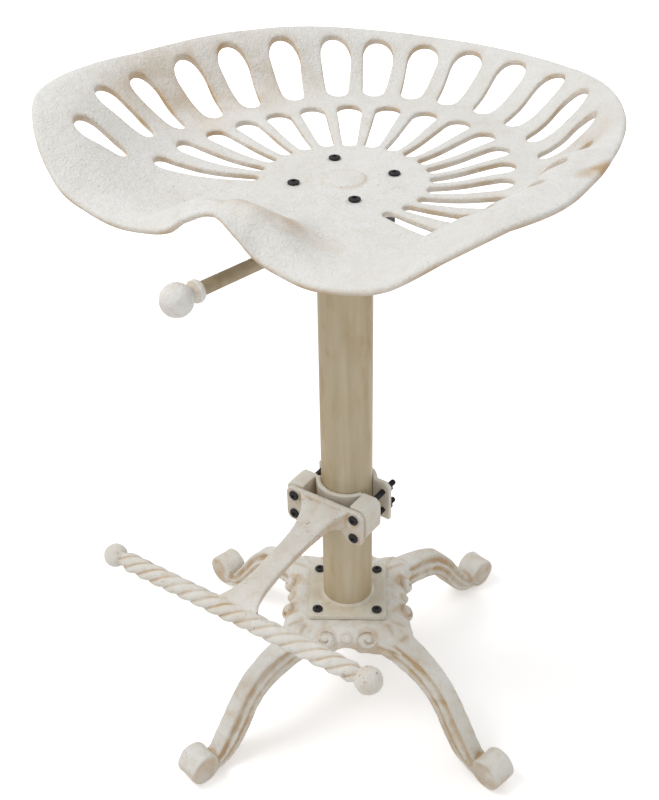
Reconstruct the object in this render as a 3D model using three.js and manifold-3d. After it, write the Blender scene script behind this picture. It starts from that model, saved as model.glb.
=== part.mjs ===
// A tractor seat stool: a pierced cast-iron seat on a gas column that swivels and lifts, a lever under
// the seat, a footrest clamped on the column and a cast base with four scroll-footed legs.
// Millimetres, +Z up. The origin is on the floor at the column's axis, and the sitter faces -Y.
import * as THREE from "three";
import { mergeVertices } from "three/addons/utils/BufferGeometryUtils.js";
import Module from "manifold-3d";

const wasm = await Module();
wasm.setup();

// Fits shared by all pieces
const seating = 0.3; // between faces that bear on each other
const running = 0.4; // round a shaft that turns or slides
const overrun = 4; // how far a cutting tool reaches past what it cuts
const faceting = { fine: 32, round: 20, small: 12, screw: 8 };

// Screws and nuts, M6 button heads
const screw = { thread: 6, head: 10.5, headHeight: 3.3, socket: 4, socketDepth: 1.9, hole: 6.6 };
const nut = { flats: 10, height: 5 };
const tail = 3; // thread that stands out past a nut
const headShares = { rim: 0.4, crown: 0.62 }; // height of a head's upright rim, radius of its flat top

// Base casting
const base = {
  turn: 32.4, // degrees from the seat's axes to the plate's sides
  legRadius: 210, // from the column's axis to a toe's centre
  hubTop: 113,
  hubWall: 10,
  hubSkirt: 28, // from the hub's top to the skirt's lower edge
  hubHalf: 62, // from the axis to the middle of a side
  hubSlope: 11, // width of the sloping shoulder round the top
  hollow: 52,
  shaftHole: 20,
  legWidth: 29,
  toeRadius: 17,
  toeFlat: 0.5, // ground off a toe where it stands
  legs: 4,
};
const hubShares = {
  root: 0.37, // half width of a leg's root, of the leg's width
  rootInset: 0.3,
  reach: 1.36, // of hubHalf, to the corners
  flank: 0.36, // of hubHalf, that a hollow side's middle stays straight
  skirtInset: 0.2, // of the slope
  edgeInset: 0.3,
  edgeDrop: 0.35,
  ornamentInset: 0.4,
  ornamentDrop: 0.55,
};
const volute = { radius: 7.6, depth: 9, dome: 3, domeShare: 0.7, spread: 19.5, tilt: 45, bead: 4.6 };
const archway = { radius: 17, drop: 21 }; // in each side of the skirt

// Column
const column = { outer: 50.8, wall: 2.5, top: 493, weld: 5.5 };
const weldShares = { out: 0.4, up: 0.35 }; // where the fillet's hollow face passes
const plate = { width: 81, thickness: 5, corner: 3, boltSpacing: 61.6, rodHole: 10.8 };

// Gas spring inside the column
const gas = {
  cylinder: 28,
  length: 308.5,
  bore: 22,
  head: 58.5, // from the cylinder's top down to its bore
  stroke: 175,
  taper: 35.5, // length of the tapered end
  taperEnd: 26.4,
  glandLength: 15,
  rod: 10,
  piston: 20.8,
  pistonHeight: 12,
  collar: 18,
  collarHeight: 4,
};
const bearing = { outer: 29, height: 7, groove: 1.6, grooveShares: [0.3, 0.4] };
const clip = { outer: 18, thickness: 1.6, rodBeyond: 3.2 };
const bush = { length: 80, flange: 3 };

// Seat
const seat = {
  width: 473,
  rimRise: 71.5,
  thickness: 5.8,
  lip: 3.4,
  screwCircle: 87,
  medallion: 36,
  medallionRise: 0.8,
  pommelRise: 17.5,
};
const outerSlots = {
  count: 19,
  pitch: 12.9, // degrees, on average
  sway: 2.2, // degrees by which the spacing is closer at the back than at the sides
  from: 0.732, // share of the rim's radius
  to: 0.948,
  shorter: 0.035, // less of it at the front corners
  shorterBetween: [75, 120], // degrees from the middle of the back
  outerWidth: 30,
  innerWidth: 21.5,
};
const innerSlots = {
  count: 17,
  pitch: 14.4,
  offset: 1.8, // degrees that the whole row is turned
  from: 0.317, // share of half the seat's width
  to: 0.6216,
  outerWidth: 24,
  innerWidth: 13.5,
};

// Bracket under the seat
const bracket = {
  width: 98,
  thickness: 3,
  turn: -5.7, // degrees from straight ahead to the channel and its lever
  inside: 32, // between the channel's cheeks
  length: 94,
  depth: 43.1, // of the channel
  overBush: 1.9, // gap from the bush up to the taper socket
  socketOuter: 38,
  socketLength: 37,
  corner: 8,
};
const lever = {
  rod: 12,
  pivot: 34, // from the column's axis to the pin
  pivotRise: 9.9, // from the channel's floor up to the pin
  rise: 3.7, // degrees, at rest
  reach: 200,
  barrel: 17,
  barrelWidth: 18,
  pin: 6,
  fingerWidth: 10,
  fingerThickness: 5,
  knob: 26.6,
  collar: 18.5,
  collarThickness: 4.5,
  neck: 15,
};
const knobShares = {
  rodEnd: 0.4, // of the ball's radius, from its centre back to the rod's end
  neck: 0.5, // of the collar's thickness
  collarEase: 0.2,
  collarEdge: 0.25,
};
const button = { head: 8, stem: 5, stemLength: 24, travel: 4.8 };
const buttonShares = { crown: 0.3, ease: 0.1 }; // of the head, its flat top's radius and rounding

// Footrest and its clamp
const foot = {
  height: 246.8, // middle of the four clamp screws
  screwsAcross: 70.2,
  screwsUp: 22.2,
  flangeFront: 41,
  flangeThickness: 5,
  flangeHalf: 45,
  flangeTop: 19.5,
  flangeBottom: 20.5,
  archHalf: 24,
  archRise: 17,
  barReach: 184,
  barDrop: 15.6,
  barRadius: 8.4,
  barLobe: 0.95,
  barLobes: 4,
  barLead: 64,
  barHalf: 145,
  ball: 12,
};
const footShares = {
  neck: 0.6, // of a ball's radius, from its centre to the bar's end inside it
  corner: 0.9, // of the flange's margin below its lower screws
  arch: 0.8, // of the arch's half width, to its curve's control points
};
const clamp = {
  halfHeight: 22,
  band: 5,
  blockInside: 27.5,
  blockOutside: 47,
  blockBack: 11,
  topChamfer: 5,
  bottomChamferAcross: 9,
  bottomChamferUp: 14,
  earFront: 12,
  earThickness: 5,
  earOutside: 42,
  earChamfer: 5,
  screwTip: 32,
};

// Colours and finishes
const castIron = { color: 0xe9e4d8, roughness: 0.55, metalness: 0.05 };
const tubeSteel = { color: 0xc3bba4, roughness: 0.45, metalness: 0.1 };
const blackSteel = { color: 0x1c1c1e, roughness: 0.5, metalness: 0.5 };
const brightSteel = { color: 0xb8babd, roughness: 0.3, metalness: 0.9 };
const blackPaint = { color: 0x222326, roughness: 0.6, metalness: 0.2 };
const nylon = { color: 0x2b2b2d, roughness: 0.7, metalness: 0 };

const radians = THREE.MathUtils.degToRad;

// Geometry of a closed mesh as a manifold, and back
function solid(geometry) {
  const bare = geometry.index ? geometry.toNonIndexed() : geometry.clone();
  for (const name of Object.keys(bare.attributes)) if (name !== "position") bare.deleteAttribute(name);
  const merged = mergeVertices(bare, 1e-4);
  const vertProperties = merged.attributes.position.array;
  const triVerts = new Uint32Array(merged.index.array);
  return new wasm.Manifold(new wasm.Mesh({ numProp: 3, vertProperties, triVerts }));
}

function geometryOf(body) {
  const mesh = body.getMesh();
  const geometry = new THREE.BufferGeometry();
  geometry.setAttribute("position", new THREE.BufferAttribute(mesh.vertProperties, 3));
  geometry.setIndex(new THREE.BufferAttribute(mesh.triVerts, 1));
  const flat = geometry.toNonIndexed();
  flat.computeVertexNormals();
  return flat;
}

const joined = (...geometries) => geometryOf(geometries.map(solid).reduce((a, b) => a.add(b)));

function cut(geometry, ...tools) {
  const body = tools.map(solid).reduce((a, b) => a.subtract(b), solid(geometry));
  return geometryOf(body);
}

// A solid of revolution about Z from [radius, height] points, drawn anticlockwise
function turned(points, sides) {
  const profile = points.map(([r, z]) => new THREE.Vector2(r, z));
  return new THREE.LatheGeometry(profile, sides).rotateX(Math.PI / 2);
}

function ring(inner, outer, bottom, top, sides) {
  return turned([[inner, bottom], [outer, bottom], [outer, top], [inner, top], [inner, bottom]], sides);
}

function bar(radius, bottom, top, sides) {
  return new THREE.CylinderGeometry(radius, radius, top - bottom, sides)
    .rotateX(Math.PI / 2)
    .translate(0, 0, (top + bottom) / 2);
}

function block(x0, x1, y0, y1, z0, z1) {
  return new THREE.BoxGeometry(x1 - x0, y1 - y0, z1 - z0)
    .translate((x0 + x1) / 2, (y0 + y1) / 2, (z0 + z1) / 2);
}

function extruded(shape, bottom, top, curveSegments = 8) {
  return new THREE.ExtrudeGeometry(shape, { depth: top - bottom, bevelEnabled: false, curveSegments })
    .translate(0, 0, bottom);
}

// A shape drawn in X and Z, extruded from one Y to another
function extrudedAlongY(shape, from, to, curveSegments = 8) {
  return extruded(shape, -to, -from, curveSegments).rotateX(Math.PI / 2);
}

function polygon(points) {
  return new THREE.Shape(points.map(([x, y]) => new THREE.Vector2(x, y)));
}

function roundedRectangle(width, height, corner) {
  const shape = new THREE.Shape();
  const [a, b] = [width / 2 - corner, height / 2 - corner];
  shape.absarc(a, -b, corner, -Math.PI / 2, 0);
  shape.absarc(a, b, corner, 0, Math.PI / 2);
  shape.absarc(-a, b, corner, Math.PI / 2, Math.PI);
  shape.absarc(-a, -b, corner, Math.PI, 1.5 * Math.PI);
  return shape;
}

// A closed body through rings of equal length, each a list of Vector3, with flat ends
function lofted(rings) {
  const n = rings[0].length;
  const positions = rings.flat().flatMap((p) => [p.x, p.y, p.z]);
  const index = [];
  for (let i = 0; i + 1 < rings.length; i++) {
    for (let j = 0; j < n; j++) {
      const [a, b] = [i * n + j, i * n + ((j + 1) % n)];
      index.push(a, b, b + n, a, b + n, a + n);
    }
  }
  const last = (rings.length - 1) * n;
  for (let j = 1; j + 1 < n; j++) {
    index.push(0, j + 1, j);
    index.push(last, last + j, last + j + 1);
  }
  const geometry = new THREE.BufferGeometry();
  geometry.setAttribute("position", new THREE.Float32BufferAttribute(positions, 3));
  geometry.setIndex(index);
  return geometry;
}

const ends = (radius, count, first) =>
  Array.from({ length: count }, (_, i) => first + (i * 360) / count).map((degrees) => [
    radius * Math.cos(radians(degrees)),
    radius * Math.sin(radians(degrees)),
  ]);

const stool = new THREE.Group();
const turnedBase = new THREE.Group();
turnedBase.rotation.z = radians(base.turn);
const turnedBracket = new THREE.Group();
turnedBracket.rotation.z = radians(bracket.turn);
const footrest = new THREE.Group();
footrest.position.z = foot.height;
stool.add(turnedBase, turnedBracket, footrest);

function add(parent, name, geometry, finish) {
  const mesh = new THREE.Mesh(geometry, new THREE.MeshStandardMaterial(finish));
  mesh.name = name;
  parent.add(mesh);
  return mesh;
}

// Screw with its head's underside at zero and its shank down -Z
function screwOf(length) {
  const [r, h, s] = [screw.thread / 2, screw.head / 2, screw.socket / 2];
  const floor = screw.headHeight - screw.socketDepth;
  return turned(
    [
      [0, -length],
      [r, -length],
      [r, 0],
      [h, 0],
      [h, screw.headHeight * headShares.rim],
      [h * headShares.crown, screw.headHeight],
      [s, screw.headHeight],
      [s, floor],
      [0, floor],
    ],
    faceting.screw,
  );
}

// Nut with its bearing face at zero and its body down -Z
function nutOf() {
  const corner = nut.flats / Math.sqrt(3);
  const hexagon = polygon(ends(corner, 6, 30));
  hexagon.holes.push(new THREE.Path().absarc(0, 0, screw.thread / 2 + seating, 0, 2 * Math.PI, true));
  return extruded(hexagon, -nut.height, 0, 4);
}

// Base: hub, legs, toes, volutes
const hubUnderside = base.hubTop - base.hubWall;
const skirtBottom = base.hubTop - base.hubSkirt;

// The hub's outline at an inset, four hollow sides with a leg's root at each corner
function hubOutline(inset) {
  const half = base.hubHalf - inset;
  const root = base.legWidth * hubShares.root - inset * hubShares.rootInset;
  const reach = base.hubHalf * hubShares.reach - inset;
  const shape = new THREE.Shape();
  for (let i = 0; i < base.legs; i++) {
    const leg = radians(45 + 90 * i);
    const side = leg + Math.PI / 4;
    const along = new THREE.Vector2(Math.cos(leg), Math.sin(leg));
    const across = new THREE.Vector2(-Math.sin(leg), Math.cos(leg));
    const near = along.clone().multiplyScalar(reach).addScaledVector(across, -root);
    const far = along.clone().multiplyScalar(reach).addScaledVector(across, root);
    const middle = new THREE.Vector2(Math.cos(side), Math.sin(side)).multiplyScalar(half);
    const flank = new THREE.Vector2(-Math.sin(side), Math.cos(side))
      .multiplyScalar(base.hubHalf * hubShares.flank);
    if (i === 0) shape.moveTo(near.x, near.y);
    shape.lineTo(far.x, far.y);
    const first = middle.clone().sub(flank);
    const second = middle.clone().add(flank);
    shape.quadraticCurveTo(first.x, first.y, middle.x, middle.y);
    const next = leg + Math.PI / 2;
    const end = new THREE.Vector2(Math.cos(next), Math.sin(next)).multiplyScalar(reach);
    end.addScaledVector(new THREE.Vector2(-Math.sin(next), Math.cos(next)), -root);
    shape.quadraticCurveTo(second.x, second.y, end.x, end.y);
  }
  return shape;
}

function hub() {
  const outline = (inset, z) =>
    hubOutline(inset).getPoints(4).slice(0, -1).map((p) => new THREE.Vector3(p.x, p.y, z));
  const body = lofted([
    outline(base.hubSlope * hubShares.skirtInset, skirtBottom),
    outline(0, base.hubTop - base.hubSlope),
    outline(base.hubSlope * hubShares.edgeInset, base.hubTop - base.hubSlope * hubShares.edgeDrop),
    outline(base.hubSlope, base.hubTop),
  ]);
  return body;
}

// Upper and lower edges of a leg in its own plane, from the hub out, in shares of the toe's distance
// and of the hub's height
const legTopShares = [
  [0.27, 0.955], [0.38, 0.945], [0.48, 0.91], [0.57, 0.865], [0.66, 0.775],
  [0.735, 0.63], [0.8, 0.47], [0.86, 0.325], [0.91, 0.21], [0.955, 0.17],
];
const legUnderShares = [
  [0.26, 0.67], [0.36, 0.69], [0.45, 0.685], [0.53, 0.655], [0.6, 0.595],
  [0.67, 0.475], [0.725, 0.31], [0.79, 0.165], [0.865, 0.075], [0.955, 0.055],
];
// Half of a leg's section from its top: share of the half width, share of the depth
const legSectionShares = [
  [0.94, 0], [1, 0.06], [1, 0.25], [0.8, 0.34], [0.91, 0.46], [0.82, 0.57], [0.9, 1],
];

function edge(shares) {
  const points = shares.map(([r, z]) => new THREE.Vector2(r * base.legRadius, z * base.hubTop));
  return new THREE.SplineCurve(points);
}

function leg() {
  const [top, under] = [edge(legTopShares), edge(legUnderShares)];
  const steps = 10;
  const rings = [];
  for (let i = 0; i <= steps; i++) {
    const [a, b] = [top.getPoint(i / steps), under.getPoint(i / steps)];
    const side = (sign) =>
      legSectionShares.map(([w, d]) => {
        const p = a.clone().lerp(b, d);
        return new THREE.Vector3(p.x, (sign * w * base.legWidth) / 2, p.y);
      });
    rings.push([...side(1), ...side(-1).reverse()]);
  }
  const toe = bar(base.toeRadius, -base.legWidth / 2, base.legWidth / 2, faceting.round)
    .rotateX(Math.PI / 2)
    .translate(base.legRadius, 0, base.toeRadius - base.toeFlat);
  return joined(lofted(rings.reverse()), toe);
}

// Two domed volutes and a bead on the shoulder in the middle of a side that faces +X
function ornament() {
  const { radius, depth, dome } = volute;
  const place = (geometry, y) =>
    geometry
      .rotateY(radians(volute.tilt))
      .translate(
        base.hubHalf - base.hubSlope * hubShares.ornamentInset,
        y,
        base.hubTop - base.hubSlope * hubShares.ornamentDrop,
      );
  const shoulder = [radius * volute.domeShare, dome * volute.domeShare];
  const button = () =>
    turned([[0, -depth], [radius, -depth], [radius, 0], shoulder, [0, dome]], faceting.screw);
  const bead = new THREE.SphereGeometry(volute.bead, 8, 5);
  return [place(button(), volute.spread), place(button(), -volute.spread), place(bead, 0)];
}

// The opening under the middle of a side that faces +X
function arch() {
  return bar(archway.radius, 0, base.hubHalf + overrun, faceting.small)
    .rotateY(Math.PI / 2)
    .translate(0, 0, base.hubTop - archway.drop - archway.radius);
}

const quarter = (i) => (Math.PI / 2) * i;
const boltPlaces = ends(plate.boltSpacing / Math.SQRT2, 4, 45);

function baseCasting() {
  const pieces = [hub()];
  const cuts = [
    bar(base.hollow, -overrun, hubUnderside, faceting.round),
    bar(base.shaftHole, 0, base.hubTop + overrun, faceting.round),
    block(-2 * base.legRadius, 2 * base.legRadius, -2 * base.legRadius, 2 * base.legRadius, -2 * overrun, 0),
  ];
  for (let i = 0; i < base.legs; i++) {
    pieces.push(leg().rotateZ(quarter(i) + Math.PI / 4));
    pieces.push(...ornament().map((piece) => piece.rotateZ(quarter(i))));
    cuts.push(arch().rotateZ(quarter(i)));
  }
  for (const [x, y] of boltPlaces)
    cuts.push(bar(screw.hole / 2, 0, base.hubTop + overrun, faceting.screw).translate(x, y, 0));
  return cut(joined(...pieces), ...cuts);
}
add(turnedBase, "base_casting", baseCasting(), castIron);

// Column plate and tube
const plateBottom = base.hubTop + seating;
const plateTop = plateBottom + plate.thickness;

function columnPlate() {
  const outline = roundedRectangle(plate.width, plate.width, plate.corner);
  const hole = (r, x, y) => new THREE.Path().absarc(x, y, r, 0, 2 * Math.PI, true);
  outline.holes.push(hole(plate.rodHole / 2, 0, 0));
  for (const [x, y] of boltPlaces) outline.holes.push(hole(screw.hole / 2, x, y));
  return extruded(outline, plateBottom, plateTop, 5);
}
add(turnedBase, "column_plate", columnPlate(), castIron);

const tubeBottom = plateTop + seating;
const [tubeOuter, tubeInner] = [column.outer / 2, column.outer / 2 - column.wall];
add(
  stool,
  "column_tube",
  turned(
    [
      [tubeInner, tubeBottom],
      [tubeOuter + column.weld, tubeBottom],
      [tubeOuter + column.weld * weldShares.out, tubeBottom + column.weld * weldShares.up],
      [tubeOuter, tubeBottom + column.weld],
      [tubeOuter, column.top],
      [tubeInner, column.top],
      [tubeInner, tubeBottom],
    ],
    faceting.fine,
  ),
  tubeSteel,
);

const baseScrewLength = plate.thickness + base.hubWall + nut.height + tail;
boltPlaces.forEach(([x, y], i) => {
  add(turnedBase, "base_screw_" + (i + 1), screwOf(baseScrewLength), blackSteel)
    .position.set(x, y, plateTop + seating);
  add(turnedBase, "base_nut_" + (i + 1), nutOf(), blackSteel).position.set(x, y, hubUnderside - seating);
});

// Guide bush, bearing and gas spring
const cylinderRadius = gas.cylinder / 2;
const rodRadius = gas.rod / 2;
const bushTop = column.top + seating + bush.flange;
const socketBottom = bushTop + bracket.overBush;
const socketTop = socketBottom + bracket.socketLength;
const channelUnderside = socketTop + seating;
const channelFloor = channelUnderside + bracket.thickness;
const cylinderBottom = channelFloor - gas.length;
const pistonBottom = cylinderBottom + gas.glandLength + gas.stroke + running;
add(
  stool,
  "guide_bush",
  turned(
    [
      [cylinderRadius + running, column.top - bush.length],
      [tubeInner - seating, column.top - bush.length],
      [tubeInner - seating, column.top + seating],
      [tubeOuter, column.top + seating],
      [tubeOuter, bushTop - bush.flange / 3],
      [tubeOuter - bush.flange / 3, bushTop],
      [cylinderRadius + running, bushTop],
      [cylinderRadius + running, column.top - bush.length],
    ],
    faceting.round,
  ),
  nylon,
);

const bearingBottom = plateTop + seating;
const bearingTop = bearingBottom + bearing.height;
const bearingOuter = bearing.outer / 2;
const [grooveEdge, grooveFloor] = bearing.grooveShares.map((share) => share * bearing.height);
add(
  stool,
  "thrust_bearing",
  turned(
    [
      [rodRadius + running, bearingBottom],
      [bearingOuter, bearingBottom],
      [bearingOuter, bearingBottom + grooveEdge],
      [bearingOuter - bearing.groove, bearingBottom + grooveFloor],
      [bearingOuter - bearing.groove, bearingTop - grooveFloor],
      [bearingOuter, bearingTop - grooveEdge],
      [bearingOuter, bearingTop],
      [rodRadius + running, bearingTop],
      [rodRadius + running, bearingBottom],
    ],
    faceting.small,
  ),
  brightSteel,
);

const collarBottom = bearingTop + seating;
const clipTop = plateBottom - seating;
const rodEnd = clipTop - clip.thickness - clip.rodBeyond;
add(
  stool,
  "piston_rod",
  turned(
    [
      [0, rodEnd],
      [rodRadius, rodEnd],
      [rodRadius, collarBottom],
      [gas.collar / 2, collarBottom],
      [gas.collar / 2, collarBottom + gas.collarHeight],
      [rodRadius, collarBottom + gas.collarHeight],
      [rodRadius, pistonBottom],
      [gas.piston / 2, pistonBottom],
      [gas.piston / 2, pistonBottom + gas.pistonHeight],
      [0, pistonBottom + gas.pistonHeight],
    ],
    faceting.small,
  ),
  brightSteel,
);
add(
  stool,
  "rod_clip",
  ring(rodRadius + seating, clip.outer / 2, clipTop - clip.thickness, clipTop, faceting.small),
  brightSteel,
);

const cylinderTop = channelFloor;
const boreTop = cylinderTop - gas.head;
const stemHole = button.stem / 2 + running;
add(
  stool,
  "gas_cylinder",
  turned(
    [
      [gas.bore / 2, cylinderBottom],
      [cylinderRadius, cylinderBottom],
      [cylinderRadius, cylinderTop - gas.taper],
      [gas.taperEnd / 2, cylinderTop],
      [stemHole, cylinderTop],
      [stemHole, cylinderTop - button.stemLength],
      [0, cylinderTop - button.stemLength],
      [0, boreTop],
      [gas.bore / 2, boreTop],
      [gas.bore / 2, cylinderBottom],
    ],
    faceting.round,
  ),
  blackPaint,
);
add(
  stool,
  "cylinder_gland",
  ring(
    rodRadius + running,
    gas.bore / 2 - seating,
    cylinderBottom,
    cylinderBottom + gas.glandLength,
    faceting.small,
  ),
  nylon,
);

// Bracket: plate, channel, taper socket
const channelTop = channelUnderside + bracket.depth;
const bracketBottom = channelTop + seating;
const bracketTop = bracketBottom + bracket.thickness;
const seatHeight = bracketTop + seating + seat.thickness;
const seatScrews = ends(seat.screwCircle / 2, 4, 45);

function bracketPlate() {
  const outline = roundedRectangle(bracket.width, bracket.width, bracket.corner);
  for (const [x, y] of seatScrews)
    outline.holes.push(new THREE.Path().absarc(x, y, screw.hole / 2, 0, 2 * Math.PI, true));
  return extruded(outline, bracketBottom, bracketTop, 5);
}
add(stool, "bracket_plate", bracketPlate(), blackPaint);

const leverSlope = radians(lever.rise);
const cheek = bracket.inside / 2;
const cheekOutside = cheek + bracket.thickness;
const pivotHeight = channelFloor + lever.pivotRise;

function bracketChannel() {
  const [floor, top] = [channelUnderside, channelTop];
  const half = bracket.length / 2;
  const section = polygon([
    [-cheekOutside, floor], [cheekOutside, floor], [cheekOutside, top], [cheek, top],
    [cheek, channelFloor], [-cheek, channelFloor], [-cheek, top], [-cheekOutside, top],
  ]);
  const rodUnderside = pivotHeight + (half - bracket.thickness - lever.pivot) * Math.tan(leverSlope)
    - lever.rod / 2 / Math.cos(leverSlope);
  const stop = block(-cheek, cheek, -half, -half + bracket.thickness, floor, rodUnderside - seating);
  const reach = cheekOutside + overrun;
  const pinHole = bar(lever.pin / 2 + seating, -reach, reach, faceting.screw)
    .rotateY(Math.PI / 2)
    .translate(0, -lever.pivot, pivotHeight);
  const socketHole = bar(cylinderRadius + seating, floor - overrun, channelFloor + overrun, faceting.round);
  return cut(joined(extrudedAlongY(section, -half, half), stop), pinHole, socketHole);
}
add(turnedBracket, "bracket_channel", bracketChannel(), blackPaint);

add(
  stool,
  "taper_socket",
  turned(
    [
      [cylinderRadius + seating, socketBottom],
      [bracket.socketOuter / 2, socketBottom],
      [bracket.socketOuter / 2, socketTop],
      [cylinderRadius + seating, socketTop],
      [cylinderRadius + seating, socketBottom],
    ],
    faceting.round,
  ),
  blackPaint,
);

// Lever: pin, rod with its barrel and finger, knob
add(
  turnedBracket,
  "lever_pin",
  bar(lever.pin / 2, -cheekOutside - lever.pin / 2, cheekOutside + lever.pin / 2, faceting.screw)
    .rotateY(Math.PI / 2)
    .translate(0, -lever.pivot, pivotHeight),
  brightSteel,
);

const buttonTop = pivotHeight - lever.fingerThickness / 2 - seating;
const leverLength = (lever.reach - lever.pivot) / Math.cos(leverSlope);
const knobRadius = lever.knob / 2;
const rodEndBack = knobRadius * knobShares.rodEnd;
const alongLever = (geometry) =>
  geometry.rotateX(Math.PI / 2 - leverSlope).translate(0, -lever.pivot, pivotHeight);

function leverRod() {
  const rod = alongLever(bar(lever.rod / 2, 0, leverLength - rodEndBack, faceting.small));
  const barrel = bar(lever.barrel / 2, -lever.barrelWidth / 2, lever.barrelWidth / 2, faceting.small)
    .rotateY(Math.PI / 2)
    .translate(0, -lever.pivot, pivotHeight);
  const halfThickness = lever.fingerThickness / 2;
  const finger = block(
    -lever.fingerWidth / 2,
    lever.fingerWidth / 2,
    -lever.pivot,
    button.head / 4,
    pivotHeight - halfThickness,
    pivotHeight + halfThickness,
  );
  const pinHole = bar(lever.pin / 2 + running, -lever.barrelWidth, lever.barrelWidth, faceting.screw)
    .rotateY(Math.PI / 2)
    .translate(0, -lever.pivot, pivotHeight);
  return cut(joined(rod, barrel, finger), pinHole);
}
add(turnedBracket, "lever_rod", leverRod(), tubeSteel);

function leverKnob() {
  const bore = lever.rod / 2 + seating;
  const neckAt = -Math.sqrt(knobRadius ** 2 - (lever.neck / 2) ** 2);
  const thickness = lever.collarThickness;
  const collarAt = neckAt - thickness - thickness * knobShares.neck;
  const edge = thickness * knobShares.collarEdge;
  const points = [
    [bore, collarAt],
    [lever.collar / 2 - thickness * knobShares.collarEase, collarAt],
    [lever.collar / 2, collarAt + edge],
    [lever.collar / 2, collarAt + thickness - edge],
    [lever.neck / 2, collarAt + thickness],
  ];
  const rows = 7;
  const start = Math.asin(lever.neck / 2 / knobRadius);
  for (let i = 0; i < rows; i++) {
    const a = Math.PI - start - ((Math.PI - start) * i) / rows;
    points.push([knobRadius * Math.sin(a), knobRadius * Math.cos(a)]);
  }
  points.push([0, knobRadius]);
  points.push([0, seating - rodEndBack], [bore, seating - rodEndBack], [bore, collarAt]);
  return alongLever(turned(points, faceting.round).translate(0, 0, leverLength));
}
add(turnedBracket, "lever_knob", leverKnob(), castIron);

add(
  stool,
  "release_button",
  turned(
    [
      [0, cylinderTop - button.stemLength + button.travel + seating],
      [button.stem / 2, cylinderTop - button.stemLength + button.travel + seating],
      [button.stem / 2, cylinderTop + button.travel + seating],
      [button.head / 2, cylinderTop + button.travel + seating],
      [button.head / 2, buttonTop - button.head * buttonShares.ease],
      [button.head * buttonShares.crown, buttonTop],
      [0, buttonTop],
    ],
    faceting.screw,
  ),
  brightSteel,
);

// Seat pan. The rim is a closed curve through points given, from the middle of the back round to the
// middle of the front, as an angle, a share of the half width and a share of the rim's rise.
const rimShares = [
  [0, 1.044, 0.66], [20, 1.04, 0.69], [40, 0.994, 0.83], [60, 0.963, 0.91], [75, 0.958, 0.94],
  [90, 0.982, 0.965], [100, 1.02, 1], [110, 1.07, 1.03], [120, 1.09, 1], [130, 1.062, 0.75],
  [140, 0.997, 0.36], [147, 0.927, 0.22], [154, 0.868, 0.162], [160, 0.814, 0.165], [166, 0.784, 0.24],
  [172, 0.766, 0.435], [180, 0.74, 0.575],
];
// How the pan climbs from its middle to the rim, at the back and sides and at the flared front corners:
// share of the way out, share of the rise
const climbShares = [
  [0, 0], [0.3, 0.002], [0.42, 0.028], [0.52, 0.088], [0.62, 0.142], [0.72, 0.178], [0.8, 0.325],
  [0.87, 0.58], [0.93, 0.83], [0.97, 0.94], [1, 1],
];
const flareShares = [
  [0, 0], [0.3, 0.002], [0.42, 0.016], [0.52, 0.064], [0.62, 0.145], [0.72, 0.27], [0.8, 0.41],
  [0.87, 0.6], [0.93, 0.8], [0.97, 0.92], [1, 1],
];
const flareBetween = [95, 140]; // degrees from the middle of the back
// Two swellings beside the notch, in degrees from the middle of the back and shares of the way out
const pommelShares = { middle: 166.5, spread: 10, from: 0.36, full: 0.76, fades: 0.86, gone: 1 };

function rimPoint([degrees, out, rise]) {
  const [a, r] = [radians(90 + degrees), (out * seat.width) / 2];
  return new THREE.Vector3(r * Math.cos(a), r * Math.sin(a), rise * seat.rimRise);
}
const otherSide = rimShares.slice(1, -1).reverse().map(([degrees, out, rise]) => [-degrees, out, rise]);
const rim = new THREE.CatmullRomCurve3([...rimShares, ...otherSide].map(rimPoint), true, "centripetal");

const climbTables = [climbShares, flareShares].map((shares) =>
  new THREE.SplineCurve(shares.map(([t, rise]) => new THREE.Vector2(t, rise))).getPoints(200));
const fromBack = (p) => THREE.MathUtils.radToDeg(Math.abs(Math.atan2(p.x, p.y)));

// The pan's rise, as a share, at a share of the way out to a point of the rim
function climb(edgePoint, t) {
  const [plain, flared] = climbTables.map((table) => {
    const next = table.findIndex((p) => p.x >= t);
    if (next <= 0) return table[next < 0 ? table.length - 1 : 0].y;
    const [a, b] = [table[next - 1], table[next]];
    return THREE.MathUtils.mapLinear(t, a.x, b.x, a.y, b.y);
  });
  const flare = THREE.MathUtils.smoothstep(fromBack(edgePoint), ...flareBetween);
  return THREE.MathUtils.lerp(plain, flared, flare);
}

function pommel(edgePoint, t) {
  const { middle, spread, from, full, fades, gone } = pommelShares;
  const near = Math.exp(-(((fromBack(edgePoint) - middle) / spread) ** 2));
  const { smoothstep } = THREE.MathUtils;
  return seat.pommelRise * near * smoothstep(t, from, full) * (1 - smoothstep(t, fades, gone));
}

const rimTable = rim.getPoints(720).map((p) => [Math.atan2(p.y, p.x), Math.hypot(p.x, p.y)]);
function rimRadius(angle) {
  const wrapped = Math.atan2(Math.sin(angle), Math.cos(angle));
  const apart = ([a]) => Math.abs(Math.atan2(Math.sin(a - wrapped), Math.cos(a - wrapped)));
  return rimTable.reduce((best, entry) => (apart(entry) < apart(best) ? entry : best))[1];
}

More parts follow.
